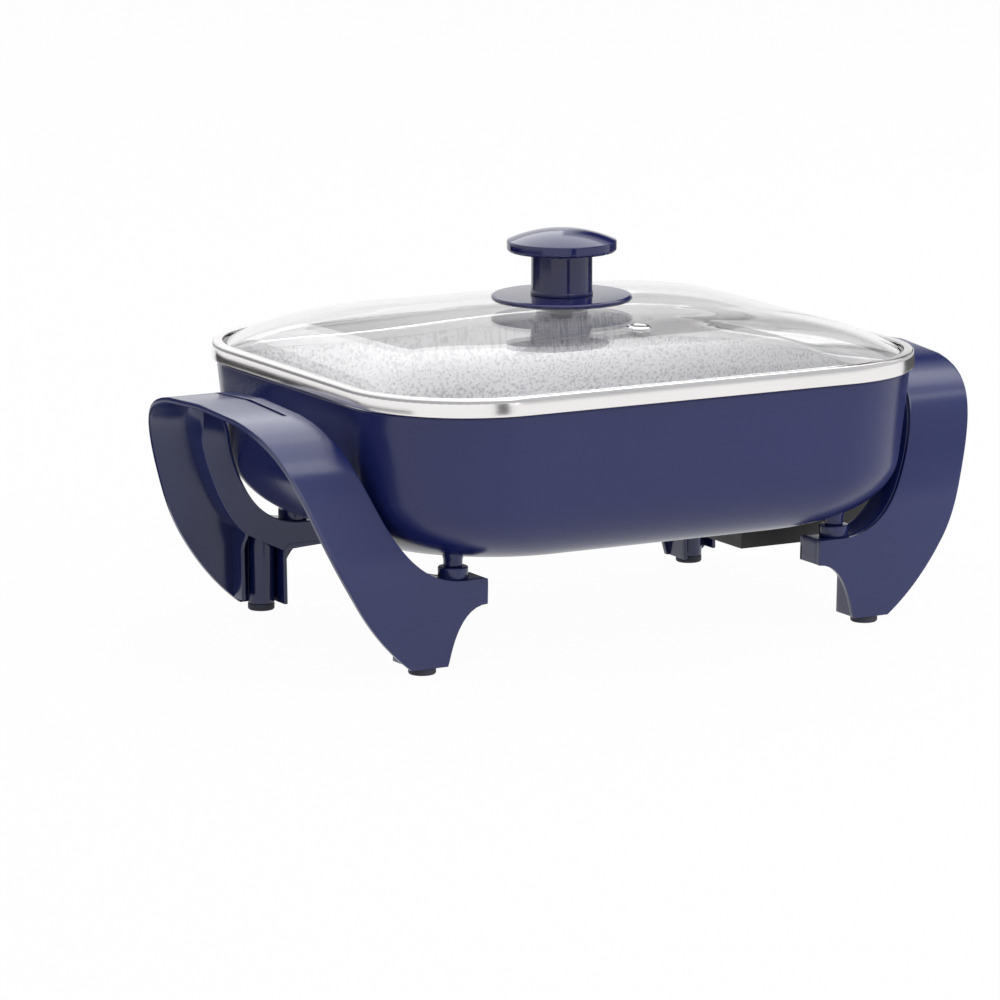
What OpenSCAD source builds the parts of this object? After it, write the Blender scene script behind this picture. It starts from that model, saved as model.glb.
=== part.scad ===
// Electric skillet: a deep non-stick pan carried on two bridge handles that
// are also its legs, with a domed glass lid in a steel band and a round knob.
// Millimetres. X runs along the handles, -Y is the front, Z is up and the
// feet stand on z = 0.

/* [Pan] */
// Outer length of the pan at its rim
pan_l = 301.8; // [270:0.1:330]
// Outer depth of the pan at its rim
pan_d = 252.6; // [225:0.1:280]
// Height of the pan's rim above the table
pan_rim_z = 128.2; // [120:0.1:140]
// Height of the pan's underside above the table
pan_base_z = 53; // [50:0.1:58]
// Plan radius of the pan's corners
pan_corner_r = 61.3; // [45:0.1:75]
// Radius of the bend between side and base
pan_bend_r = 31; // [25:0.1:45]
// Lean of the side wall in degrees
pan_draft = 4.6; // [2:0.1:7]
// Thickness of the side wall
pan_wall_t = 3; // [2:0.1:4]
// Thickness of the floor
pan_floor_t = 6; // [4:0.1:8]

/* [Lid] */
// How far the steel band stands out past the pan
band_out = 2.7; // [1.5:0.1:4]
// Height of the steel band
band_h = 8.8; // [7:0.1:12]
// Thickness of the band's sheet steel
band_t = 0.8; // [0.6:0.1:1.2]
// Width of the band's lip over the glass
band_lip_w = 6; // [4:0.1:8]
// Depth of the skirt that centres the lid in the pan
skirt_h = 3.5; // [2:0.1:6]
// Thickness of the glass
glass_t = 4; // [3:0.1:5]
// Rise of the glass dome above its flat edge
dome_h = 18.5; // [12:0.1:26]
// Sharpness of the dome's shoulder
dome_power = 4.8; // [3:0.1:7]
// Outer diameter of the steam vent's eyelet
vent_dia = 12.3; // [9:0.1:15]
// Distance of the steam vent in front of the knob
vent_y = 66; // [50:0.1:85]
// Distance of the steam vent to the right of the knob
vent_x = 5.6; // [0:0.1:12]

/* [Knob] */
// Diameter of the disc at the foot of the knob
flange_dia = 70; // [60:0.1:76]
// Thickness of that disc
flange_t = 2.8; // [2:0.1:4]
// Diameter of the knob's stem
stem_dia = 30.9; // [24:0.1:38]
// Height of the stem
stem_h = 21.6; // [16:0.1:30]
// Diameter of the knob's cap
cap_dia = 54.4; // [46:0.1:60]
// Height of the cap's upright side
cap_side_h = 5.2; // [3:0.1:8]
// Rise of the cap's crown
cap_crown_h = 5.9; // [4:0.1:9]
// Gap between the glass and the disc
knob_lift = 4.1; // [3:0.1:6]

/* [Handles] */
// How far a grip reaches out past the pan's rim
grip_reach = 48.6; // [38:0.1:60]
// Height of the grip's top
grip_z = 123.5; // [115:0.1:127]
// How far the legs' outer faces stand in from the pan's front and back
leg_inset = 32.8; // [26:0.1:40]
// Thickness of the outer skin
skin_t = 2.8; // [2.2:0.1:3.4]
// Thickness of the inner walls
rib_t = 2; // [1.6:0.1:2.6]
// Depth of the hollow leg, skin included
channel_d = 19; // [17.5:0.1:21]
// Width of a hollow leg, from its outer face to the finger gap
leg_w = 37.5; // [34:0.1:42]
// Distance from the pan's end in to the inner edge of the leg's foot
leg_in = 36.9; // [35:0.1:39]
// Distance from the pan's end in to the outer edge of the leg's foot
leg_out = 17.2; // [12:0.1:18]
// Distance from the pan's end in to the leg's outer wall
leg_wall = 13.4; // [11:0.1:15]
// Height where the leg's outer wall starts to lean
leg_knee_z = 41; // [38:0.1:46]
// Distance from the pan's end in to the hook's tip
hook_in = 57.9; // [55:0.1:61]
// Height of the hook's top
hook_z = 44.6; // [43:0.1:46]
// Height of the hook's tip
hook_h = 12.3; // [10:0.1:14]
// Half length of the slot in the grip's top
slot_half_l = 37; // [25:0.1:45]
// Width of that slot
slot_w = 1.8; // [1.2:0.1:3]

/* [Feet and fixings] */
// Distance from the pan's end in to the middle of a foot
foot_in = 26.6; // [25.5:0.1:27]
// Distance from a leg's outer face in to the middle of its foot
foot_set = 8.5; // [8:0.1:9.5]
// Diameter of a rubber foot
foot_dia = 13.4; // [11:0.1:15]
// Height of a rubber foot
foot_h = 3.5; // [3:0.1:5]
// Distance from the pan's end in to the middle of a spacer
spacer_in = 44; // [43:0.1:46]
// Distance from a leg's outer face in to the middle of its spacer
spacer_set = 9.6; // [9:0.1:10.5]
// Diameter of a spacer between hook and pan
spacer_dia = 14.6; // [12:0.1:15.5]
// Height of a spacer
spacer_h = 5.8; // [4:0.1:6.4]
// Diameter of the pan's mounting stud
stud_dia = 9.2; // [8:0.1:11]
// Diameter of the screws' shanks
screw_dia = 4; // [3:0.1:4.5]

/* [Heater and socket] */
// How far the heat spreader reaches out past the socket block's screws
spreader_edge = 6; // [5:0.1:10]
// Depth of the heat spreader
spreader_d = 96; // [90:0.1:110]
// Thickness of the heat spreader
spreader_t = 2; // [1.5:0.1:3]
// Diameter of the heating tube
tube_dia = 6.5; // [5:0.1:8]
// Length of the heating tube's loop
loop_l = 140; // [110:0.1:150]
// Depth of the heating tube's loop
loop_d = 70; // [64:0.1:74]
// Length of the socket block
guard_l = 76; // [70:0.1:80]
// Width of the socket block
guard_w = 68; // [62:0.1:76]
// Distance from the pan's end in to the socket block's inner face
guard_in = 66.9; // [63:0.1:69]
// Height of the socket block's underside
guard_base_z = 31.3; // [29:0.1:33]
// Width of the socket's mouth
mouth_w = 44; // [38:0.1:50]
// Height of the socket's mouth
mouth_h = 12; // [10:0.1:13]
// Depth of the socket's mouth
mouth_d = 34; // [28:0.1:36]
// Diameter of a contact pin
pin_dia = 4.8; // [4:0.1:6]
// Distance between the two contact pins
pin_pitch = 25; // [22:0.1:30]
// Diameter of the thermostat sleeve
sleeve_dia = 7.5; // [6:0.1:9]

/* [Hidden] */
// Smoothness of round things, and of the pan's corners and levels
$fn = 72;
corner_steps = 12;
bend_steps = 8;
dome_steps = 11;
curve_steps = 14;
wall_steps = 10;
// Overrun of a cut, and the clearances between pieces
cut = 1;
lid_gap = 0.3;
skirt_gap = 0.7;
seat_gap = 0.15;
bore_gap = 0.1;
pocket_gap = 0.05;
spot_gap = 0.3;
right_angle = 90;

// Places that follow from the pan's length and depth
pan_half_l = pan_l / 2;
grip_half_l = pan_half_l + grip_reach;
leg_half_d = pan_d / 2 - leg_inset;
finger_half_w = leg_half_d - leg_w;
leg_in_x = pan_half_l - leg_in;
leg_out_x = pan_half_l - leg_out;
leg_wall_x = pan_half_l - leg_wall;
hook_x = pan_half_l - hook_in;
foot_x = pan_half_l - foot_in;
foot_y = leg_half_d - foot_set;
spacer_x = pan_half_l - spacer_in;
spacer_y = leg_half_d - spacer_set;
guard_x = pan_half_l - guard_in;

// Pan side levels that follow from the sizes above
bend_top_z = pan_base_z + pan_bend_r;
inner_bend_r = pan_bend_r - pan_wall_t;
inner_corner_r = pan_corner_r - pan_wall_t;
floor_z = pan_base_z + pan_floor_t;

// Lid: the band's foot sits just above the pan's rim
band_z = pan_rim_z + lid_gap;
band_top_z = band_z + band_h;
band_l = pan_l + 2 * band_out;
band_d = pan_d + 2 * band_out;
band_r = pan_corner_r + band_out;
seal_t = 1;
glass_in = band_t + seal_t;
pocket_in = glass_in - pocket_gap;
glass_edge_z = band_top_z - band_t - seat_gap;
cap_share = sin(right_angle / dome_steps);
glass_top_z = glass_edge_z + dome_h * (1 - pow(cap_share, dome_power));
dome_in = band_lip_w + seal_t;
skirt_in = band_out + pan_wall_t + skirt_gap;

// Knob levels from the glass up
flange_z = glass_top_z + knob_lift;
stem_z = flange_z + flange_t;
cap_z = stem_z + stem_h;
cap_edge_z = cap_z + cap_side_h;
knob_top_z = cap_edge_z + cap_crown_h;
washer_t = 1;
washer_dia = 26;
hub_dia = 24;
flange_round_r = 0.9;
cap_round_r = 1.2;
insert_dia = 8;
insert_l = 12;
insert_in = 4;
shank_end = 2;
knob_head_dia = 11;
knob_head_h = 2.6;

// Vent eyelet: it leans with the glass
glass_half_d = band_d / 2 - dome_in;
vent_share = vent_y / glass_half_d;
vent_z = glass_edge_z + dome_h * (1 - pow(vent_share, dome_power));
vent_lean = atan(dome_h * dome_power * pow(vent_share, dome_power - 1) / glass_half_d);
vent_hole_dia = 5;
vent_neck_dia = 7.4;
vent_lip_t = 1;
vent_lip_gap = 0.25;

// Arch of the handle seen from its end: shares of the half depth and height
crown_shares = [[0, 1], [0.684, 1], [0.816, 0.894], [0.918, 0.625]];
knee_shares = [[0.918, 0.625], [0.958, 0.517], [1, 0.429], [1, 0.332]];
leg_taper = 1.3;
// Outer edge of the handle seen from the front: shares from foot to grip
out_shares = [[0, 0], [0.62, 0.264], [0.729, 0.693], [1, 1]];
// Pan side edge from hook to grip, and the gusset between foot and hook
in_shares = [[0, 0], [0.618, 0], [0.733, 0.534], [1, 1]];
gusset_shares = [[0, 0], [0.814, 0], [0.948, 0.96], [1, 1]];
// Leaning outer wall of the hollow leg, from its knee to the grip
wall_shares = [[0, 0], [0.42, 0.2], [0.64, 0.53], [1, 1]];
grip_w = 34.5;
hook_root = 12;
wall_grip_in = 20.5;
wall_top_drop = 4;
grip_in_x = grip_half_l - grip_w;
hook_root_x = hook_x + hook_root;
hook_low_z = hook_z - hook_h;
wall_grip_x = grip_half_l - wall_grip_in;
web_y = leg_half_d - channel_d;
inner_wall_x = leg_in_x + 1;
web_low_z = 29.8;
web_toe_z = 31;
web_toe_x = inner_wall_x + rib_t;
leg_wall_d = 13;
slot_in = 26.5;
slot_x = grip_half_l - slot_in;
outline_half_d = leg_half_d + cut;

// Bosses and screws in the legs
boss_dia = foot_dia;
boss_top_z = 46;
boss_bore_dia = 5;
boss_bore_l = 16;
plug_dia = boss_bore_dia - bore_gap;
plug_l = 4;
foot_recess_dia = 7;
foot_recess_h = 1.6;
foot_screw_l = 12;
foot_screw_dia = 2.6;
foot_head_dia = 5.6;
foot_head_h = 1.2;
screw_head_dia = 8;
screw_head_h = 2.4;
stud_grip = 6;

// Heater parts under the pan
spreader_r = 20;
loop_r = 22;
tube_z = pan_base_z - spreader_t - tube_dia / 2 - bore_gap;
neck_r = 10;
neck_x = 48;
tail_in = 5;
tail_end_x = guard_x + tail_in;
clip_w = 10;
clip_t = 1.2;
clip_foot = 5;
clip_x = 20;
guard_top_z = pan_base_z - spreader_t;
mouth_z = guard_base_z + 3.2;
mouth_mid_z = mouth_z + mouth_h / 2;
pin_root_x = guard_x + 5;
pin_recess = 18;
pin_l = guard_l - pin_recess;
sleeve_recess = 20;
sleeve_l = guard_l - sleeve_recess;
guard_screw_in = 6;
guard_screw_y = guard_w / 2 - guard_screw_in;
guard_screw_x = guard_x + guard_screw_in - cut;
spreader_l = 2 * (guard_screw_x + spreader_edge);
guard_screw_grip = 2.5;
guard_drill_z = pan_base_z + guard_screw_grip + bore_gap;
guard_screw_dia = 3;
guard_head_dia = 6;
guard_head_h = 2;
tab_l = 14;
tab_w = 5;
tab_t = 0.8;

// Colours
body_blue = [0.16, 0.18, 0.36];
handle_blue = [0.19, 0.21, 0.42];
steel_grey = [0.8, 0.79, 0.78];
glass_tint = [0.85, 0.88, 0.9, 0.35];
socket_black = [0.1, 0.1, 0.09];
rubber_black = [0.13, 0.13, 0.17];
alu_grey = [0.66, 0.67, 0.68];
brass_tone = [0.75, 0.6, 0.32];
silicone_grey = [0.55, 0.55, 0.56];
heater_grey = [0.32, 0.31, 0.3];

// Corners of the object: name, side along X, side along Y
CORNERS = [["left_front", -1, -1], ["left_back", -1, 1],
           ["right_front", 1, -1], ["right_back", 1, 1]];
ENDS = [["front", -1], ["back", 1]];

// Curves: a cubic through four control points, its direction, and the line
// of points that runs beside it at a distance
function cubic(p, t) = pow(1 - t, 3) * p[0] + 3 * pow(1 - t, 2) * t * p[1]
                       + 3 * (1 - t) * t * t * p[2] + pow(t, 3) * p[3];
function slope(p, t) = 3 * pow(1 - t, 2) * (p[1] - p[0]) + 6 * (1 - t) * t * (p[2] - p[1])
                       + 3 * t * t * (p[3] - p[2]);
function beside(p, t, off) = let (d = slope(p, t), n = norm(d))
                             cubic(p, t) + off * [d[1], -d[0]] / n;
function line_beside(p, off, steps) = [for (i = [0:steps]) beside(p, i / steps, off)];
function turned(list) = [for (i = [len(list) - 1:-1:0]) list[i]];
function placed(shares, from, to) = [for (s = shares) [from[0] + s[0] * (to[0] - from[0]),
                                                        from[1] + s[1] * (to[1] - from[1])]];

// Rounded rectangle as a ring of points at one height
function ring(half_l, half_d, r, z) =
    [for (q = [0:3]) for (i = [0:corner_steps])
        let (a = right_angle * (q + i / corner_steps),
             sx = q == 0 || q == 3 ? 1 : -1,
             sy = q < 2 ? 1 : -1)
        [sx * (half_l - r) + r * cos(a), sy * (half_d - r) + r * sin(a), z]];

// Closed skin over a stack of rings that run upward
module stack(rings) {
    n = len(rings[0]);
    m = len(rings);
    sides = [for (k = [0:m - 2]) for (i = [0:n - 1])
        let (j = (i + 1) % n)
        [k * n + i, k * n + j, (k + 1) * n + j, (k + 1) * n + i]];
    tris = [for (s = sides) each [[s[0], s[2], s[1]], [s[0], s[3], s[2]]]];
    low = [for (i = [0:n - 1]) i];
    high = [for (i = [n - 1:-1:0]) (m - 1) * n + i];
    polyhedron(points = [for (r = rings) each r], faces = concat([low], tris, [high]));
}

// Flat plate or ring with a rounded rectangular plan
module plan(half_l, half_d, r) {
    square([2 * half_l, 2 * (half_d - r)], center = true);
    square([2 * (half_l - r), 2 * half_d], center = true);
    for (sx = [-1, 1], sy = [-1, 1])
        translate([sx * (half_l - r), sy * (half_d - r)]) circle(r);
}

module plan_ring(half_l, half_d, r, w, z, h) {
    translate([0, 0, z]) linear_extrude(h) difference() {
        plan(half_l, half_d, r);
        plan(half_l - w, half_d - w, r - w);
    }
}

module rod(d, z, h) {
    translate([0, 0, z]) cylinder(d = d, h = h);
}

module rod_x(d, l) {
    rotate([0, right_angle, 0]) cylinder(d = d, h = l);
}

// Pan
function side_in(z) = (pan_rim_z - z) * tan(pan_draft);
function bend_in(angle, r) = r * (1 - cos(angle));
function pan_ring(inset, z, r) = ring(pan_l / 2 - inset, pan_d / 2 - inset, r, z);

function outer_rings() = concat(
    [for (i = [bend_steps:-1:0])
        let (a = right_angle * i / bend_steps, z = bend_top_z - pan_bend_r * sin(a))
        pan_ring(side_in(z) + bend_in(a, pan_bend_r), z, pan_corner_r)],
    [pan_ring(0, pan_rim_z, pan_corner_r)]);

function inner_rings() = concat(
    [for (i = [bend_steps:-1:0])
        let (a = right_angle * i / bend_steps,
             z = floor_z + inner_bend_r * (1 - sin(a)))
        pan_ring(side_in(z) + pan_wall_t + bend_in(a, inner_bend_r), z, inner_corner_r)],
    [pan_ring(pan_wall_t + side_in(pan_rim_z + cut), pan_rim_z + cut, inner_corner_r)]);

module pan() {
    color(body_blue) difference() {
        union() {
            stack(outer_rings());
            for (c = CORNERS) translate([c[1] * spacer_x, c[2] * spacer_y, 0])
                rod(stud_dia, hook_z + spacer_h, stud_grip + spacer_h);
        }
        stack(inner_rings());
        for (c = CORNERS) translate([c[1] * spacer_x, c[2] * spacer_y, 0])
            rod(screw_dia + bore_gap, hook_z + spacer_h - cut, stud_grip + cut);
        guard_screw_holes();
    }
}

// Blind holes in the pan's floor, through the heat spreader
module guard_screw_holes() {
    for (sy = [-1, 1]) translate([guard_screw_x, sy * guard_screw_y, 0])
        rod(guard_screw_dia + bore_gap, guard_base_z, guard_drill_z - guard_base_z);
}

// Heater
module base_plate() {
    color(alu_grey) difference() {
        translate([0, 0, pan_base_z - spreader_t])
            linear_extrude(spreader_t) plan(spreader_l / 2, spreader_d / 2, spreader_r);
        guard_screw_holes();
    }
}

module tube_bend(turn, r) {
    rotate([0, 0, turn]) rotate_extrude(angle = right_angle)
        translate([r, 0]) circle(d = tube_dia, $fn = 32);
}

module run_x(x0, x1, y) {
    translate([x0, y, 0]) rod_x(tube_dia, x1 - x0);
}

module heating_element() {
    half_l = loop_l / 2;
    half_d = loop_d / 2;
    tail_y = pin_pitch / 2;
    color(heater_grey) translate([0, 0, tube_z]) {
        translate([-half_l, loop_r - half_d, 0]) rotate([-right_angle, 0, 0])
            cylinder(d = tube_dia, h = loop_d - 2 * loop_r);
        for (sy = [-1, 1]) mirror([0, sy < 0 ? 1 : 0, 0]) {
            translate([loop_r - half_l, half_d - loop_r, 0])
                tube_bend(right_angle, loop_r);
            run_x(loop_r - half_l, neck_x, half_d);
            translate([neck_x, half_d - neck_r, 0]) tube_bend(0, neck_r);
            translate([neck_x + neck_r, tail_y + neck_r, 0]) rotate([-right_angle, 0, 0])
                cylinder(d = tube_dia, h = half_d - tail_y - 2 * neck_r);
            translate([neck_x + 2 * neck_r, tail_y + neck_r, 0])
                tube_bend(2 * right_angle, neck_r);
            run_x(neck_x + 2 * neck_r, tail_end_x, tail_y);
        }
    }
}

module element_clip(sy) {
    under_z = pan_base_z - spreader_t;
    outer_r = tube_dia / 2 + bore_gap + clip_t;
    color(alu_grey) translate([clip_x, sy * loop_d / 2, 0]) difference() {
        union() {
            translate([0, 0, tube_z]) rod_x(2 * outer_r, clip_w);
            translate([0, -outer_r, tube_z]) cube([clip_w, 2 * outer_r, under_z - tube_z]);
            translate([0, -outer_r - clip_foot, under_z - clip_t])
                cube([clip_w, 2 * (outer_r + clip_foot), clip_t]);
        }
        translate([-cut, 0, tube_z]) rod_x(2 * (outer_r - clip_t), clip_w + 2 * cut);
        translate([-cut, clip_t - outer_r, tube_z])
            cube([clip_w + 2 * cut, 2 * (outer_r - clip_t), tube_dia]);
        translate([-cut, -outer_r - cut, under_z])
            cube([clip_w + 2 * cut, 2 * (outer_r + cut), tube_dia]);
    }
}

// Socket block under the right end of the pan
module terminal_guard() {
    color(socket_black) difference() {
        translate([guard_x, -guard_w / 2, guard_base_z])
            cube([guard_l, guard_w, guard_top_z - guard_base_z]);
        translate([guard_x + guard_l - mouth_d, -mouth_w / 2, mouth_z])
            cube([mouth_d + cut, mouth_w, mouth_h]);
        for (sy = [-1, 1]) {
            translate([guard_x - cut, sy * pin_pitch / 2, tube_z])
                rod_x(tube_dia + bore_gap, tail_in + cut);
            translate([pin_root_x, sy * pin_pitch / 2, mouth_mid_z])
                rod_x(pin_dia + bore_gap, guard_l);
            translate([guard_screw_x, sy * guard_screw_y, 0]) {
                rod(guard_screw_dia + bore_gap, 0, guard_top_z + cut);
                rod(guard_head_dia + bore_gap, 0, guard_base_z + guard_head_h);
            }
        }
        translate([pin_root_x, 0, mouth_mid_z]) rod_x(sleeve_dia + bore_gap, guard_l);
    }
}

module terminal_pin(sy) {
    color(brass_tone) translate([pin_root_x, sy * pin_pitch / 2, mouth_mid_z]) {
        rod_x(pin_dia, pin_l - pin_dia / 2);
        translate([pin_l - pin_dia / 2, 0, 0]) sphere(d = pin_dia);
    }
}

module thermostat_sleeve() {
    color(steel_grey) translate([pin_root_x, 0, mouth_mid_z]) difference() {
        rod_x(sleeve_dia, sleeve_l);
        translate([tail_in, 0, 0]) rod_x(sleeve_dia - 2 * tab_t, sleeve_l);
    }
}

module earth_tab() {
    color(steel_grey) translate([guard_x + guard_l - mouth_d, -tab_w / 2, mouth_z])
        cube([tab_l, tab_w, tab_t]);
}

module guard_screw(sy) {
    color(steel_grey) translate([guard_screw_x, sy * guard_screw_y, 0]) {
        rod(guard_head_dia, guard_base_z, guard_head_h);
        rod(guard_screw_dia, guard_base_z, pan_base_z + guard_screw_grip - guard_base_z);
    }
}

// Handle: the right one is drawn, the left one is its mirror image
crown = placed(crown_shares, [0, 0], [leg_half_d, grip_z]);
knee = placed(knee_shares, [0, 0], [leg_half_d, grip_z]);
out_edge = placed(out_shares, [leg_out_x, foot_h], [grip_half_l, grip_z]);
in_edge = placed(in_shares, [hook_root_x, hook_z], [grip_in_x, grip_z]);
gusset = placed(gusset_shares, [hook_x, hook_low_z], [leg_in_x, foot_h]);
lean = placed(wall_shares, [leg_wall_x, leg_knee_z], [wall_grip_x, grip_z - wall_top_drop]);

function arch_side(in) = concat(
    [for (i = [1:curve_steps]) beside(crown, i / curve_steps, in)],
    [for (i = [1:curve_steps]) beside(knee, i / curve_steps, in)]);

module arch_area(in, below) {
    side = concat(arch_side(in), [[leg_half_d - leg_taper - in, foot_h - below]]);
    flipped = [for (p = turned(side)) [-p[0], p[1]]];
    polygon(concat(flipped, [[0, grip_z - in]], side));
}

module arch_skin(in, depth) {
    difference() {
        arch_area(in, 0);
        arch_area(depth, cut);
    }
}

module along_x() {
    translate([hook_x - cut, 0, 0]) rotate([right_angle, 0, right_angle])
        linear_extrude(grip_half_l - hook_x + 2 * cut) children();
}

module along_y() {
    translate([0, outline_half_d, 0]) rotate([right_angle, 0, 0])
        linear_extrude(2 * outline_half_d) children();
}

module outline() {
    polygon(concat(line_beside(out_edge, 0, curve_steps),
                   [[grip_half_l, grip_z + cut], [grip_in_x, grip_z + cut]],
                   turned(line_beside(in_edge, 0, curve_steps)),
                   [[hook_x, hook_z]],
                   line_beside(gusset, 0, wall_steps)));
}

module wall_bands() {
    intersection() {
        outline();
        union() {
            // Leaning outer wall
            polygon(concat(line_beside(lean, 0, wall_steps),
                           [[wall_grip_x, grip_z], [wall_grip_x - rib_t, grip_z]],
                           turned(line_beside(lean, -rib_t, wall_steps))));
            // Pan side wall and the hook's top
            polygon(concat([[hook_x, hook_z]],
                           line_beside(in_edge, 0, curve_steps),
                           [[grip_in_x, grip_z], [grip_in_x + rib_t, grip_z]],
                           turned(line_beside(in_edge, rib_t, curve_steps)),
                           [[hook_x, hook_z - rib_t]]));
            // Hook's tip and underside, and the leg's inner wall
            translate([hook_x, hook_low_z]) square([rib_t, hook_h]);
            translate([hook_x, hook_low_z]) square([web_toe_x - hook_x, rib_t]);
            translate([inner_wall_x, foot_h]) square([rib_t, hook_low_z + rib_t - foot_h]);
        }
    }
}

module web_face() {
    polygon(concat([[hook_x, hook_low_z],
                    [inner_wall_x - rib_t, hook_low_z],
                    [inner_wall_x, web_low_z],
                    [web_toe_x, web_toe_z]],
                   line_beside(lean, 0, wall_steps),
                   [[wall_grip_x, grip_z], [grip_in_x, grip_z]],
                   turned(line_beside(in_edge, 0, curve_steps)),
                   [[hook_x, hook_z]]));
}

module beyond_finger() {
    translate([finger_half_w, 0]) square([leg_half_d, grip_z]);
}

module hollow_leg() {
    intersection() {
        along_x() intersection() {
            arch_skin(skin_t / 2, channel_d);
            beyond_finger();
        }
        along_y() wall_bands();
    }
    intersection() {
        along_x() intersection() {
            arch_skin(channel_d - rib_t, channel_d);
            beyond_finger();
        }
        along_y() web_face();
    }
    intersection() {
        along_x() intersection() {
            arch_skin(skin_t / 2, channel_d);
            translate([finger_half_w, 0]) square([rib_t, grip_z]);
        }
        along_y() web_face();
    }
    intersection() {
        along_x() intersection() {
            arch_skin(skin_t / 2, leg_wall_d);
            translate([finger_half_w, 0]) square([leg_half_d, leg_knee_z + rib_t]);
        }
        along_y() intersection() {
            outline();
            translate([leg_wall_x - rib_t, foot_h]) square([rib_t, leg_knee_z]);
        }
    }
    translate([foot_x, foot_y, 0]) rod(boss_dia, foot_h, boss_top_z - foot_h);
}

module handle() {
    difference() {
        union() {
            intersection() {
                along_x() arch_skin(0, skin_t);
                along_y() outline();
            }
            hollow_leg();
            mirror([0, 1, 0]) hollow_leg();
        }
        translate([slot_x - slot_w / 2, -slot_half_l, grip_z - 2 * channel_d])
            cube([slot_w, 2 * slot_half_l, 2 * channel_d + cut]);
        for (sy = [-1, 1]) {
            translate([foot_x, sy * foot_y, 0])
                rod(boss_bore_dia, foot_h - cut, boss_bore_l + cut);
            translate([spacer_x, sy * spacer_y, 0]) {
                rod(screw_dia + bore_gap, hook_low_z - cut, hook_h + 2 * cut);
                rod(spacer_dia + 2 * spot_gap, hook_z, 2 * spacer_h);
            }
        }
    }
}

module handle_left() {
    color(handle_blue) mirror([1, 0, 0]) handle();
}

module handle_right() {
    color(handle_blue) handle();
}

// Fixings, one set for each leg; c is an entry of CORNERS
module spacer(c) {
    color(handle_blue) translate([c[1] * spacer_x, c[2] * spacer_y, 0]) difference() {
        rod(spacer_dia, hook_z, spacer_h);
        rod(screw_dia + bore_gap, hook_z - cut, spacer_h + 2 * cut);
    }
}

module handle_screw(c) {
    color(steel_grey) translate([c[1] * spacer_x, c[2] * spacer_y, 0]) {
        rod(screw_head_dia, hook_low_z - screw_head_h, screw_head_h);
        rod(screw_dia, hook_low_z - screw_head_h,
            screw_head_h + hook_h + spacer_h + stud_grip - cut);
    }
}

module foot(c) {
    color(rubber_black) translate([c[1] * foot_x, c[2] * foot_y, 0]) difference() {
        union() {
            rod(foot_dia, 0, foot_h);
            rod(plug_dia, 0, foot_h + plug_l);
        }
        rod(foot_screw_dia + bore_gap, -cut, foot_h + plug_l + 2 * cut);
        rod(foot_recess_dia, -cut, foot_recess_h + cut);
    }
}

module foot_screw(c) {
    color(steel_grey) translate([c[1] * foot_x, c[2] * foot_y, 0]) {
        rod(foot_head_dia, foot_recess_h - foot_head_h, foot_head_h);
        rod(foot_screw_dia, foot_recess_h - foot_head_h, foot_screw_l);
    }
}

// Lid
function glass_ring(share, z) = ring(share * (band_l / 2 - dome_in), share * (band_d / 2 - dome_in),
                                     share * (band_r - dome_in), z);
function dome_z(share) = glass_edge_z + dome_h * (1 - pow(share, dome_power));

module lid_glass() {
    edge = [for (z = [glass_edge_z - glass_t, glass_edge_z])
            ring(band_l / 2 - glass_in, band_d / 2 - glass_in, band_r - glass_in, z)];
    upper = [for (i = [0:dome_steps - 1])
             let (share = sin(right_angle * (dome_steps - i) / dome_steps))
             glass_ring(share, dome_z(share))];
    lower = [for (r = turned(upper)) [for (p = r) [p[0], p[1], p[2] - glass_t]]];
    color(glass_tint) difference() {
        stack(concat(lower, edge, upper));
        rod(screw_dia + 2 * bore_gap, glass_edge_z, dome_h + cut);
        translate([vent_x, -vent_y, vent_z]) rotate([vent_lean, 0, 0])
            rod(vent_neck_dia + 2 * bore_gap, -2 * glass_t, 4 * glass_t);
    }
}

module lid_seal() {
    color(silicone_grey) difference() {
        plan_ring(band_l / 2 - band_t, band_d / 2 - band_t, band_r - band_t,
                  band_lip_w, band_z + band_t, band_h - 2 * band_t);
        translate([0, 0, glass_edge_z - glass_t])
            linear_extrude(band_h) plan(band_l / 2 - pocket_in, band_d / 2 - pocket_in,
                                        band_r - pocket_in);
    }
}

module lid_band() {
    color(steel_grey) {
        plan_ring(band_l / 2, band_d / 2, band_r, band_t, band_z, band_h);
        plan_ring(band_l / 2, band_d / 2, band_r, band_lip_w, band_top_z - band_t, band_t);
        plan_ring(band_l / 2, band_d / 2, band_r, skirt_in + band_t, band_z, band_t);
        plan_ring(band_l / 2 - skirt_in, band_d / 2 - skirt_in, band_r - skirt_in,
                  band_t, band_z - skirt_h, skirt_h + band_t);
    }
}

module vent_eyelet() {
    depth = glass_t + vent_lip_gap;
    color(steel_grey) translate([vent_x, -vent_y, vent_z]) rotate([vent_lean, 0, 0])
        rotate_extrude() {
            translate([vent_hole_dia / 2, vent_lip_gap])
                square([(vent_dia - vent_hole_dia) / 2, vent_lip_t]);
            translate([vent_hole_dia / 2, -depth - vent_lip_gap])
                square([(vent_neck_dia - vent_hole_dia) / 2, depth + 2 * vent_lip_gap]);
        }
}

// Knob
module knob_washer_top() {
    color(silicone_grey) difference() {
        rod(washer_dia, glass_top_z, washer_t);
        rod(screw_dia + bore_gap, glass_top_z - cut, washer_t + 2 * cut);
    }
}

module knob_flange() {
    r = flange_dia / 2;
    e = flange_round_r;
    color(handle_blue) translate([0, 0, flange_z]) rotate_extrude() difference() {
        union() {
            square([r, flange_t - e]);
            square([r - e, flange_t]);
            translate([r - e, flange_t - e]) circle(e);
            translate([0, washer_t - knob_lift]) square([hub_dia / 2, knob_lift]);
        }
        translate([-r, -knob_lift]) square([r + (screw_dia + bore_gap) / 2, 2 * knob_lift + flange_t]);
    }
}

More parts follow.
